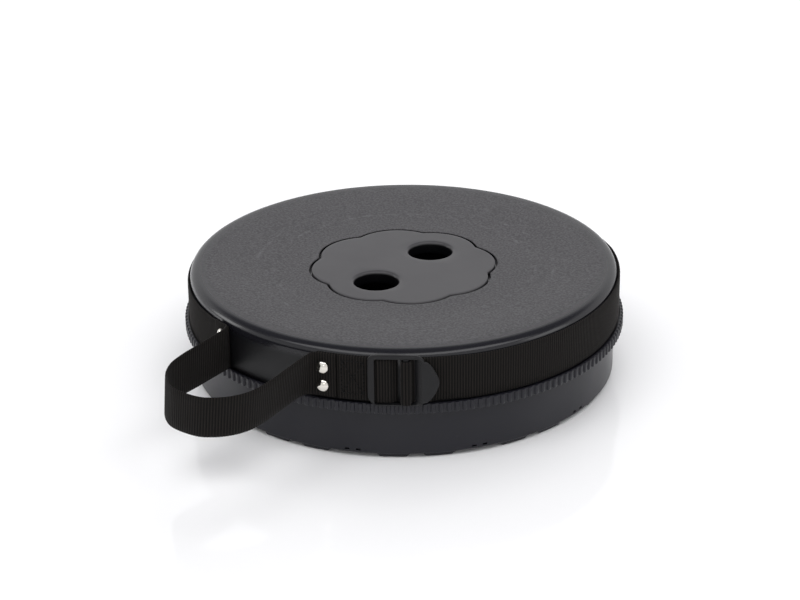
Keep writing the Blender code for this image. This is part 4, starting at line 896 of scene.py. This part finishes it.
# %% Polyester webbing
def polyester_webbing():
    """Soft brown-black thread: a painted highlight on the ribs and painted shade between them, with no
    clear glossy highlight.
    """
    constants = {"Sheen Weight": 0.06, "Sheen Roughness": 0.4, "Specular IOR Level": 0.1}
    material, tree, shader = start_material("polyester_webbing", "151413", 0.78, **constants)
    along = add(tree, "Attribute", output="Fac", attribute_name="along")
    across = add(tree, "Attribute", output="Fac", attribute_name="across")
    ribs = add(tree, "Math", (along, 2 * np.pi / RIB_PITCH), **TIMES)
    rib = add(tree, "MapRange", (add(tree, "Math", (ribs,), operation="COSINE"), -0.5, 1.0))
    warps = add(tree, "Math", (across, 2 * np.pi / WARP_PITCH), **TIMES)
    thread = add(tree, "MapRange", (add(tree, "Math", (warps,), operation="SINE"), -1.0, 1.0))
    stretched = add(tree, "Math", (along, 0.25), **TIMES), add(tree, "Math", (across, 1.2), **TIMES)
    place = add(tree, "CombineXYZ", stretched)
    uneven = add(tree, "TexNoise", {"Vector": place, "Scale": 1.0, "Detail": 3.0})
    # Painted light: the dull colours are painted shade in the valleys, the lit colours a painted highlight
    # on the ribs and threads
    dull = {FACTOR: uneven, COLOUR_A: colour("050505"), COLOUR_B: colour("0E0D0C")}
    dull = add(tree, "Mix", dull, **COLOURS)
    lit = {FACTOR: uneven, COLOUR_A: colour("1C1918"), COLOUR_B: colour("2B2724")}
    lit = add(tree, "Mix", lit, **COLOURS)
    lift = add(tree, "Math", (rib, add(tree, "MapRange", (thread, 0.0, 1.0, 0.55, 1.0))), **TIMES)
    base = add(tree, "Mix", {FACTOR: lift, COLOUR_A: dull, COLOUR_B: lit}, **COLOURS)
    gloss = add(tree, "MapRange", (uneven, 0.3, 0.7, 0.70, 0.86))
    connect(tree, shader, base, gloss, (add(tree, "Math", (thread, uneven), **TIMES), 0.5, 0.08))
    return material


strap_material = polyester_webbing()
print("webbing with a rib every", RIB_PITCH, "mm")

# %% [markdown]
# ## Paths of the strap
# The belt lies close under the carrying loop's left end, stands off the skirt all the way round and
# is threaded over the buckle's ladder bar. It is a little loose, so it has slipped down by 3 mm at
# the back and hangs lowest there. The tab goes round the anchor bar and back on itself.
# Straight stretches with rounded corners describe the folds best, because each stretch rests on
# something. The buckle's places are given along its tangent and out from the skirt.

# %% Straight stretches with rounded corners
BUCKLE_ANGLE = 36.0


def at_buckle(along, out):
    """Plan point from the distance along the buckle's tangent and out from the skirt."""
    turn = np.radians(BUCKLE_ANGLE)
    x, y = polar(SKIRT_RADIUS + out, BUCKLE_ANGLE)
    return x + along * np.cos(turn), y + along * np.sin(turn)


def filleted(points, radius):
    """Straight stretches joined by arcs of this radius, or less where a stretch is short."""
    points = np.asarray(points, float)
    made = [points[0]]
    for before, corner, after in zip(points, points[1:], points[2:]):
        back, ahead = np.linalg.norm(before - corner), np.linalg.norm(after - corner)
        u, v = (before - corner) / back, (after - corner) / ahead
        half = np.arccos(np.clip(u @ v, -1, 1)) / 2
        reach = min(radius / np.tan(half), 0.49 * back, 0.49 * ahead)
        centre = corner + (u + v) / 2 * reach / np.cos(half) ** 2
        first, last = corner + u * reach - centre, corner + v * reach - centre
        sweep = np.pi - 2 * half
        t = np.linspace(0, 1, max(2, int(np.ceil(sweep / 0.12))))[:, None]
        made.extend(centre + (np.sin((1 - t) * sweep) * first + np.sin(t * sweep) * last) / np.sin(sweep))
    made.append(points[-1])
    return np.array(made)


def around_bar(place, depth, width, thickness):
    """Left, right, low and high of the middle of webbing that wraps a bar."""
    stand = LAYER_GAP + WEB_THICKNESS / 2
    return (
        place - width / 2 - stand,
        place + width / 2 + stand,
        depth - thickness / 2 - stand,
        depth + thickness / 2 + stand,
    )


def arc(radius, first, last, step=0.25):
    """Plan points along an arc round the stool."""
    angle = np.linspace(first, last, int(abs(last - first) / step) + 2)
    return np.stack(polar(radius, angle), 1)


def sag(along):
    """How far the skirt falls away from the buckle's tangent."""
    return along**2 / (2 * SKIRT_RADIUS)


print("8 mm beside the buckle the skirt has fallen away by", round(sag(8.0), 2), "mm")

# %% Path of the tab
CLEARANCE = 0.3
STRAP_END = 14.4
TAB_RETURN = 19.8
TAB_RAISE = 0.5
TILT_PLACE = -17.0
TILT_DEPTH = 2.3
FOLD_SPREAD = 5.2
RISE_LENGTH = 1.7
SLACK = 0.2
ANCHOR_BAR = {"place": -10.1, "depth": 2.2, "width": 5.5, "thickness": 1.2}

fold_radius = WEB_THICKNESS + LAYER_GAP
inner_layer = SKIRT_RADIUS + CLEARANCE + WEB_THICKNESS / 2
outer_layer = inner_layer + WEB_THICKNESS + LAYER_GAP
left, right_side, low, high = around_bar(**ANCHOR_BAR)
start = TILT_PLACE + CLEARANCE
inner = inner_layer - SKIRT_RADIUS - sag(start)
outer = inner + WEB_THICKNESS + LAYER_GAP
rise = left - RISE_LENGTH
fold = [(start, outer), (rise, outer + SLACK), (left + SLACK, high), (right_side, high)]
fold += [(right_side + FOLD_SPREAD, low), (left + WEB_THICKNESS, low)]
fold += [(rise, inner + SLACK), (start, inner)]
fold_plan = np.stack(at_buckle(*filleted(fold, fold_radius).T), 1)
fold_angle = BUCKLE_ANGLE + np.degrees(np.arctan2(TILT_PLACE - CLEARANCE, SKIRT_RADIUS + TILT_DEPTH))
tab_path = np.concatenate(
    [arc(outer_layer, TAB_RETURN, fold_angle), fold_plan, arc(inner_layer, fold_angle, STRAP_END)]
)
tab_path = np.pad(tab_path, ((0, 0), (0, 3)))
tab_path[:, 4] = -TAB_RAISE
print("tab's path in", len(tab_path), "points")

# %% Path of the belt
HANDLE_END = 19.2
STAND_OFF = 0.35
SETTLE_ANGLE = 6.0
BELT_SPLIT = 15.0
THREAD_RISE = 2.5
BELT_SLIP_AT = 46.0, 54.0, 136.0, 158.0, 325.0, 346.0
BELT_SLIP = 0.0, 0.6, 0.4, 3.2, 3.2, 2.0
LADDER_BAR = {"place": 1.2, "depth": 4.6, "width": 2.9, "thickness": 2.0}

left, right_side, low, high = around_bar(**LADDER_BAR)
lower = STAND_OFF + WEB_THICKNESS / 2 - sag(BELT_SPLIT)
upper = lower + WEB_THICKNESS + LAYER_GAP
thread = [(BELT_SPLIT, lower), (right_side + THREAD_RISE, lower + SLACK), (left, low), (left, high)]
thread += [(right_side, high), (right_side, LADDER_BAR["depth"] - 1.0)]
thread += [(right_side + THREAD_RISE, upper + SLACK), (BELT_SPLIT, upper)]
thread_plan = np.stack(at_buckle(*filleted(thread, fold_radius).T), 1)
belt_start = BUCKLE_ANGLE + np.degrees((BELT_SPLIT + CLEARANCE) / (SKIRT_RADIUS + STAND_OFF))
belt_angle = np.linspace(360 - STRAP_END, belt_start, 1200)
share = np.clip((360 - belt_angle - HANDLE_END - SETTLE_ANGLE) / SETTLE_ANGLE, 0, 1)
stand = CLEARANCE + (STAND_OFF - CLEARANCE) * share**2 * (3 - 2 * share)
belt_round = np.stack(polar(SKIRT_RADIUS + stand + WEB_THICKNESS / 2, belt_angle), 1)
belt_drop = np.interp(belt_angle, BELT_SLIP_AT, BELT_SLIP)[:, None]
belt_round = np.concatenate([belt_round, belt_drop * (0, 0, 1)], 1)
belt_path = np.concatenate([belt_round, np.pad(thread_plan, ((0, 0), (0, 3)))])
print("belt's path in", len(belt_path), "points")

# %% [markdown]
# The belt and the tab are each one piece, and neither is attached to a body.


belt = webbing("belt_webbing", belt_path, strap_material, None)
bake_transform(belt)
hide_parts("strap_belt", "adjuster_loop")
tab = webbing("tab_webbing", tab_path, strap_material, None)
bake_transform(tab)
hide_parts("strap_tab", "anchor_loop")

# %% [markdown]
# The carrying loop's ends lie flat over the strap's ends under the rivets, pinch in beside the
# skirt and open into a round loop that leans over to one side and droops a little. A Catmull-Rom
# curve goes through its few given points, so the loop keeps their exact places and bends evenly
# between them. At the left the strap has slipped down a little, and the loop's end with it.

# %% Smooth curve through points
def smooth_path(points, steps):
    """Catmull-Rom curve: each stretch is a cubic that takes its slopes from the neighbouring points."""
    p = np.asarray(points, float)
    a, b, c, d = p[[0, *range(len(p) - 2)]], p[:-1], p[1:], p[[*range(2, len(p)), len(p) - 1]]
    t = np.linspace(0, 1, steps, endpoint=False)[:, None, None]
    curve = 2 * b + (c - a) * t + (2 * a - 5 * b + 4 * c - d) * t**2 + (3 * b - a - 3 * c + d) * t**3
    return np.concatenate([curve.transpose(1, 0, 2).reshape(-1, p.shape[1]) / 2, p[-1:]])


print("a curve through 4 points in", len(smooth_path(np.eye(4), 12)), "steps")

# %% Carrying loop
HANDLE_LIFT = 14.3
HANDLE_BEND = 3.2
HANDLE_HALF_WIDTH = 28.0
HANDLE_REACH = 189.2
HANDLE_LEAN = 0.21
HANDLE_LEAN_TURN = 62.0
HANDLE_DROP = 2.5
DROP_START = 5
LEFT_DROP = 0.7
LEFT_DROP_REACH = 22

loop_centre = HANDLE_REACH - HANDLE_HALF_WIDTH


def half_loop(pinch, flare):
    """Plan points of half of the loop, from its end under the rivets to just before the tip."""
    root = outer_layer * np.sin(np.radians(HANDLE_LIFT)) - pinch
    under_rivets = (HANDLE_END, (HANDLE_END + HANDLE_LIFT) / 2, HANDLE_LIFT)
    points = [polar(outer_layer, turn) for turn in under_rivets]
    points += [(root + flare, -SKIRT_RADIUS - HANDLE_BEND / 5)]
    points += [(root + flare / 3, -SKIRT_RADIUS - HANDLE_BEND), (root, -SKIRT_RADIUS - 3 * HANDLE_BEND)]
    points += [(HANDLE_HALF_WIDTH - 0.4, -loop_centre + HANDLE_HALF_WIDTH / 2)]
    points += [(HANDLE_HALF_WIDTH, -loop_centre + HANDLE_HALF_WIDTH / 10)]
    for turn in (75, 55, 35, 15):
        x, y = polar(HANDLE_HALF_WIDTH, turn)
        points.append((x, y - loop_centre))
    return np.array(points)


right_half = half_loop(pinch=3.8, flare=1.2)
left_half = half_loop(pinch=2.6, flare=1.4)[::-1] * [-1, 1]
loop_plan = np.concatenate([right_half, left_half])
right_lean = [0, 0, 0, 0.35, 0.75, 1, 1, 1, 1, 1, 1, 1]
left_lean = [1, 1, 0.9, 0.7, 0.5, 0.35, 0.2, 0.1, 0, 0, 0, 0]
lean = np.array(right_lean + left_lean)[:, None] * HANDLE_LEAN
lean_x, lean_y = polar(lean, HANDLE_LEAN_TURN)
from_skirt = -loop_plan[:, 1:] - SKIRT_RADIUS
away = np.clip((from_skirt - DROP_START) / (HANDLE_REACH - SKIRT_RADIUS - DROP_START), 0, 1)
near = np.clip(1 - (from_skirt + DROP_START) / LEFT_DROP_REACH, 0, 1) * (loop_plan[:, :1] < 0)
drop = (HANDLE_DROP + TAB_RAISE) * away - TAB_RAISE + (LEFT_DROP + TAB_RAISE) * near
handle_points = np.concatenate([loop_plan, lean_x, lean_y, drop], 1)
handle = webbing("handle_webbing", smooth_path(handle_points, 12), strap_material, "seat")
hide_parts("strap_handle")

# %% [markdown]
# The tab is sewn down on itself with a box and a cross. Each stitch is a short loop of thread that
# stands a little proud, so it is a small six-sided bead laid along the seam, and all the stitches
# are one mesh.

# %% Sewing thread and its seams
STITCH_PITCH = 2.1
SEAM_LEFT = 20.9
SEAM_RIGHT = 26.3
SEAM_LOW = 39.6
SEAM_HIGH = 58.0

# Polyester sewing thread, twisted and waxed: a dull black, painted a little darker than the webbing as
# painted shade in the dimples of the stitches
thread_material, tree, shader = start_material("sewing_thread", "060606", 0.7, Specular_IOR_Level=0.2)
cloud = add(tree, "TexNoise", lumps(add(tree, "TexCoord", output="Object"), 0.6))
blacks_and_dimple_shade = {FACTOR: cloud, COLOUR_A: colour("030303"), COLOUR_B: colour("090909")}
connect(tree, shader, add(tree, "Mix", blacks_and_dimple_shade, **COLOURS))

corners = [(SEAM_LEFT, SEAM_LOW), (SEAM_RIGHT, SEAM_LOW), (SEAM_RIGHT, SEAM_HIGH), (SEAM_LEFT, SEAM_HIGH)]
seams = [(corners[a], corners[b]) for a, b in ((0, 1), (1, 2), (2, 3), (3, 0), (0, 2), (3, 1))]
per_degree = np.radians(outer_layer + WEB_THICKNESS / 2)
middles = []
directions = []
for (a0, z0), (a1, z1) in seams:
    across_seam = np.array([(a1 - a0) * per_degree, z1 - z0])
    count = int(np.linalg.norm(across_seam) / STITCH_PITCH)
    t = (np.arange(count) + 0.5) / count
    middles.append(np.stack([a0 + t * (a1 - a0), z0 + t * (z1 - z0)], 1))
    directions.append(np.tile(across_seam / np.linalg.norm(across_seam), (count, 1)))
middles = np.concatenate(middles)
directions = np.concatenate(directions)
print(len(middles), "stitches")

# %% Stitches on the tab
STITCH_LENGTH = 1.7
STITCH_WIDTH = 0.7
STITCH_HEIGHT = 0.28
STITCH_SINK = 0.04

swing = np.radians(np.arange(6) * 60)
lengthwise = np.array([-0.5, -0.32, 0.32, 0.5]) * STITCH_LENGTH
girth = np.array([0.25, 1.0, 1.0, 0.25])
across_stitch = STITCH_WIDTH / 2 * np.cos(swing) * girth[:, None]
proud = STITCH_HEIGHT * np.sin(swing) * girth[:, None]
sideways = directions[:, ::-1] * [-1, 1]
flat = lengthwise[:, None, None] * directions[:, None, None]
flat = flat + across_stitch[..., None] * sideways[:, None, None]
stitch_angle = middles[:, 0, None, None] + flat[..., 0] / per_degree
stitch_radius = outer_layer + WEB_THICKNESS / 2 - STITCH_SINK + proud
stitch_points = round_the_stool(stitch_radius, stitch_angle, middles[:, 1, None, None] + flat[..., 1])
one_stitch = grid_faces(4, 6, round_rows=False).tolist() + [[0, 1, 2, 3, 4, 5], [18, 19, 20, 21, 22, 23]]
stitch_faces = [[24 * k + i for i in face] for k in range(len(middles)) for face in one_stitch]
stitching = make_piece("tab_stitching", stitch_points, stitch_faces, thread_material, "seat", crease=60.0)

# %% [markdown]
# ## Buckle
# The ladder-lock buckle is moulded acetal, slightly matt. It is a frame with rounded corners, and
# its section is carried round between an outer outline and the window. The rails dip behind the
# anchor bar, and the right bar's inner half slopes towards the ladder bar. Two bars with rounded
# edges cross the window, and a thin half-round tab lets the thumb lift the buckle.

# %% The buckle's outlines
BUCKLE_LEFT = -18.7
BUCKLE_RIGHT = 10.8
BUCKLE_LOW = 34.8
BUCKLE_HIGH = 63.3
WINDOW_LEFT = -15.2
WINDOW_RIGHT = 5.7
WINDOW_LOW = 35.4
WINDOW_HIGH = 61.3
CORNER_RADII = (4.2, 2.8, 6.0, 3.0)


def rounded_box(left, right, low, high, radii, per_corner=10, per_side=8):
    """Outline of a box with round corners, the same number of points for any size and radii."""
    turn = np.radians(np.linspace(0, 90, per_corner))
    made = []
    corner_places = [(right, high, -1, -1), (left, high, 1, -1), (left, low, 1, 1), (right, low, -1, 1)]
    for k, (radius, (x, y, to_x, to_y)) in enumerate(zip(radii, corner_places)):
        x, y = x + to_x * radius, y + to_y * radius
        swing = turn + k * np.pi / 2
        made.append(np.stack([x + radius * np.cos(swing), y + radius * np.sin(swing)], 1))
    outline = []
    for corner, following in zip(made, made[1:] + made[:1]):
        t = np.linspace(0, 1, per_side + 2)[1:-1, None]
        outline += [corner, corner[-1] + t * (following[0] - corner[-1])]
    return np.concatenate(outline)


def to_stool(along, height, out):
    """Points in the stool's frame from the buckle's own along, height and out."""
    return np.stack(np.broadcast_arrays(*at_buckle(along, out), height), -1)


outside = rounded_box(BUCKLE_LEFT, BUCKLE_RIGHT, BUCKLE_LOW, BUCKLE_HIGH, CORNER_RADII)
window = rounded_box(WINDOW_LEFT, WINDOW_RIGHT, WINDOW_LOW, WINDOW_HIGH, (0.9, 0.9, 0.9, 0.9))
print("each outline has", len(outside), "points")

# %% The buckle's frame
BUCKLE_FRONT = 6.2
BUCKLE_FRONT_LEFT = 4.7
BUCKLE_BACK = 3.4
INNER_SLOPE = (3.6, 2.6)
RAIL_PLACES = -18.3, -13.75, -5.85, 10.5
RAIL_BACKS = 3.6, 1.7, 1.7, 4.4

# Each row is its share of the way from the window to the outside, and how far its edge is eased
frame_rows = [(0.0, 0.35), (0.06, 0.1), (0.16, 0.0), (0.5, 0.0), (0.84, 0.0), (0.94, 0.1), (1.0, 0.35)]
section = [(f, 1, drop) for f, drop in frame_rows] + [(f, 0, drop) for f, drop in reversed(frame_rows)]
share = np.array([row[0] for row in section])[:, None, None]
at_front = np.array([row[1] for row in section])[:, None]
drop = np.array([row[2] for row in section])[:, None]
spot = window + share * (outside - window)
along, height = spot[..., 0], spot[..., 1]
past_window = np.abs(height - (WINDOW_LOW + WINDOW_HIGH) / 2) - (WINDOW_HIGH - WINDOW_LOW) / 2
# Both fade over one millimetre at the window's ends, so the section has no step there
in_window = np.clip(0.3 - past_window, 0, 1)
on_rail = 1 - np.clip(0.4 - past_window, 0, 1)
width, depth = INNER_SLOPE
slope = depth * np.clip((WINDOW_RIGHT + width - along) / width, 0, 1) * in_window
slope = slope * (along > WINDOW_RIGHT - 1)
back = BUCKLE_BACK + (np.interp(along, RAIL_PLACES, RAIL_BACKS) - BUCKLE_BACK) * on_rail
front = np.interp(along, [BUCKLE_LEFT, BUCKLE_RIGHT], [BUCKLE_FRONT_LEFT, BUCKLE_FRONT])
out = np.where(at_front == 1, front - drop - slope, back + drop)
buckle_parts = [(to_stool(along, height, out), grid_faces(*along.shape))]
print("frame with a section of", len(section), "points")

# %% The buckle's two bars
BAR_POWER = 0.6


def eased(value, power):
    """Sine or cosine raised to a power with its sign kept, which makes a circle squarer or leaner."""
    return np.sign(value) * np.abs(value) ** power


# Both bars are squarish rods that run up the window and end in closed tips inside the rails
bar_swing = np.linspace(0, 2 * np.pi, 24, endpoint=False)
level = np.array([BUCKLE_LOW + 0.5, BUCKLE_LOW + 0.5, BUCKLE_HIGH - 0.5, BUCKLE_HIGH - 0.5])[:, None]
size = np.array([0.0, 1.0, 1.0, 0.0])[:, None]
for bar in (ANCHOR_BAR, LADDER_BAR):
    across_bar = bar["place"] + size * eased(np.cos(bar_swing), BAR_POWER) * bar["width"] / 2
    through = bar["depth"] + size * eased(np.sin(bar_swing), BAR_POWER) * bar["thickness"] / 2
    buckle_parts.append((to_stool(across_bar, level, through), grid_faces(4, 24, round_rows=False)))

print("bars", ANCHOR_BAR["width"], "and", LADDER_BAR["width"], "mm wide")

# %% The buckle's lift tab
TAB_POWER = 1.4
TAB_ROOT = 10.5
TAB_FOOT = 9.0
TAB_END = 18.6
TAB_HALF = 11.8
TAB_LOWER = 0.9
TAB_THICKNESS = 1.8

# The lift tab fans out from a point inside the frame's right bar to its half-round rim
buckle_middle = (BUCKLE_LOW + BUCKLE_HIGH) / 2
tab_swing = np.radians(np.linspace(-90, 90, 41))
tab_corner = BUCKLE_RIGHT + 0.6
tab_out_part = eased(np.cos(tab_swing), TAB_POWER)
tab_up_part = eased(np.sin(tab_swing), TAB_POWER)
rim_along = tab_corner + (TAB_END - tab_corner) * tab_out_part
rim_along = np.concatenate([[TAB_FOOT], rim_along, [TAB_FOOT]])
rim_height = buckle_middle - TAB_LOWER + TAB_HALF * np.concatenate([[-1.0], tab_up_part, [1.0]])
tab_edge = [(0.0, 0.0), (0.5, 0.0), (0.93, 0.0), (0.98, 0.12), (1.0, 0.45)]
tab_rows = [(share, BUCKLE_FRONT - 0.05 - ease) for share, ease in tab_edge]
tab_rows += [(share, BUCKLE_FRONT - TAB_THICKNESS + ease) for share, ease in reversed(tab_edge)]
outward, tab_out = np.array(tab_rows).T[..., None]
tab_along = TAB_ROOT + outward * (rim_along - TAB_ROOT)
tab_height = buckle_middle + outward * (rim_height - buckle_middle)
tab_faces = grid_faces(*tab_along.shape, round_rows=False)
buckle_parts.append((to_stool(tab_along, tab_height, tab_out), tab_faces))
print("lift tab", round(TAB_END - BUCKLE_RIGHT, 1), "mm past the frame")

# %% [markdown]
# Acetal is a dense, slightly waxy plastic. Its mould was lightly etched, so the highlight along the
# top rail is broad and soft, and patches that rub on cloth turn a little lighter.


# %% Matt acetal for the buckle
def matt_acetal():
    """Fine etched surface with a soft broad highlight and paler patches where it is handled."""
    material, tree, shader = start_material("matt_acetal", "0F0F11", 0.38, Specular_IOR_Level=0.3)
    place = add(tree, "TexCoord", output="Object")
    cloud = add(tree, "TexNoise", lumps(place, 4.0, 3.0))
    base = {FACTOR: cloud, COLOUR_A: colour("0D0D0F"), COLOUR_B: colour("131315")}
    base = add(tree, "Mix", base, **COLOURS)
    gloss = add(tree, "MapRange", (cloud, 0.3, 0.7, 0.42, 0.52))
    connect(tree, shader, base, gloss, (add(tree, "TexNoise", lumps(place, 0.25)), 0.3, 0.03))
    return material


buckle_points = np.concatenate([points.reshape(-1, 3) for points, faces in buckle_parts])
offsets = np.cumsum([0] + [points.size // 3 for points, faces in buckle_parts[:-1]])
buckle_faces = np.concatenate([faces + offset for (points, faces), offset in zip(buckle_parts, offsets)])
buckle = make_piece("buckle_moulded", buckle_points, buckle_faces, matt_acetal(), "buckle", crease=50.0)
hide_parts("strap_buckle")

# %% [markdown]
# ## Rivets
# Four domed rivets hold the strap's ends and the carrying loop. They are steel with a bright nickel
# coat, so they mirror the panels as small white spots over dark edges. Each is a profile turned
# round its own axis, which points out from the stool.

# %% Bright nickel and the rivets
RIVET_ANGLE = 16.0
RIVET_SPACING = 10.6
RIVET_DROP = {1: 0.3, -1: 0.1}
HEAD_RADIUS = 3.6
HEAD_HEIGHT = 2.0
SHANK_RADIUS = 1.5
SHANK_END = -7.0
TAIL_RADIUS = 2.6

nickel, tree, shader = start_material("bright_nickel", "E6E3DC", 0.10, Metallic=1.0)
place = add(tree, "TexCoord", output="Object")
dulled = add(tree, "MapRange", (add(tree, "TexNoise", lumps(place, 0.9, 3.0)), 0.35, 0.7, 0.06, 0.18))
cloud = add(tree, "TexNoise", lumps(place, 1.6))
tarnish = {FACTOR: cloud, COLOUR_A: colour("EBE8E2"), COLOUR_B: colour("D2CEC4")}
connect(tree, shader, add(tree, "Mix", tarnish, **COLOURS), dulled)

strap_face = outer_layer + WEB_THICKNESS / 2 + 0.1
dome = [(HEAD_RADIUS * np.sin(s), HEAD_HEIGHT * np.cos(s)) for s in np.radians(np.linspace(0, 84, 10))]
dome += [(HEAD_RADIUS, 0.0), (HEAD_RADIUS - 0.15, -0.1), (SHANK_RADIUS, -0.1), (SHANK_RADIUS, SHANK_END)]
dome += [(TAIL_RADIUS, SHANK_END), (TAIL_RADIUS, SHANK_END - 0.6), (0, SHANK_END - 0.6)]
dome = np.array(dome)
round_angle = np.linspace(0, 2 * np.pi, 32, endpoint=False)
dome_across = dome[:, :1] * np.cos(round_angle)
dome_up = dome[:, :1] * np.sin(round_angle)
dome_faces = grid_faces(len(dome), 32, round_rows=False)
places = [(side, up) for side in (1, -1) for up in (1, -1)]
for number, (turn_side, up) in enumerate(places, 1):
    out_x, out_y = polar(strap_face + dome[:, 1:], turn_side * RIVET_ANGLE)
    side_x, side_y = polar(1.0, turn_side * RIVET_ANGLE + 90)
    height = WEB_MIDDLE - RIVET_DROP[turn_side] + up * RIVET_SPACING / 2
    spots = np.stack([out_x + dome_across * side_x, out_y + dome_across * side_y, height + dome_up], -1)
    rivet = make_piece("rivet_domed_%d" % number, spots, dome_faces, nickel, "seat")
    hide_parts("rivet_%d" % number)

# %% [markdown]
# ## Collar and screws
# The twist collar and the screws under the seat keep their solids, since their shapes are right
# and they hardly show. They only need finishes: the rings' plastic for the collar, and
# zinc-plated steel with a cloudy, faintly blue coat for the screws.

# %% Finishes for the pieces that stay solid
zinc, tree, shader = start_material("zinc_plated_steel", "A9ABAD", 0.34, Metallic=1.0)
cloud = add(tree, "TexNoise", lumps(add(tree, "TexCoord", output="Object"), 1.2, 3.0))
coat = {FACTOR: cloud, COLOUR_A: colour("B4B6B9"), COLOUR_B: colour("8F9196")}
gloss = add(tree, "MapRange", (cloud, 0.3, 0.7, 0.28, 0.45))
connect(tree, shader, add(tree, "Mix", coat, **COLOURS), gloss)

nodes["seat_hub"].material_slots[0].material = ring_plastic
for name in nodes:
    if "screw" in name:
        nodes[name].material_slots[0].material = zinc
print("finished", len(nodes), "nodes")
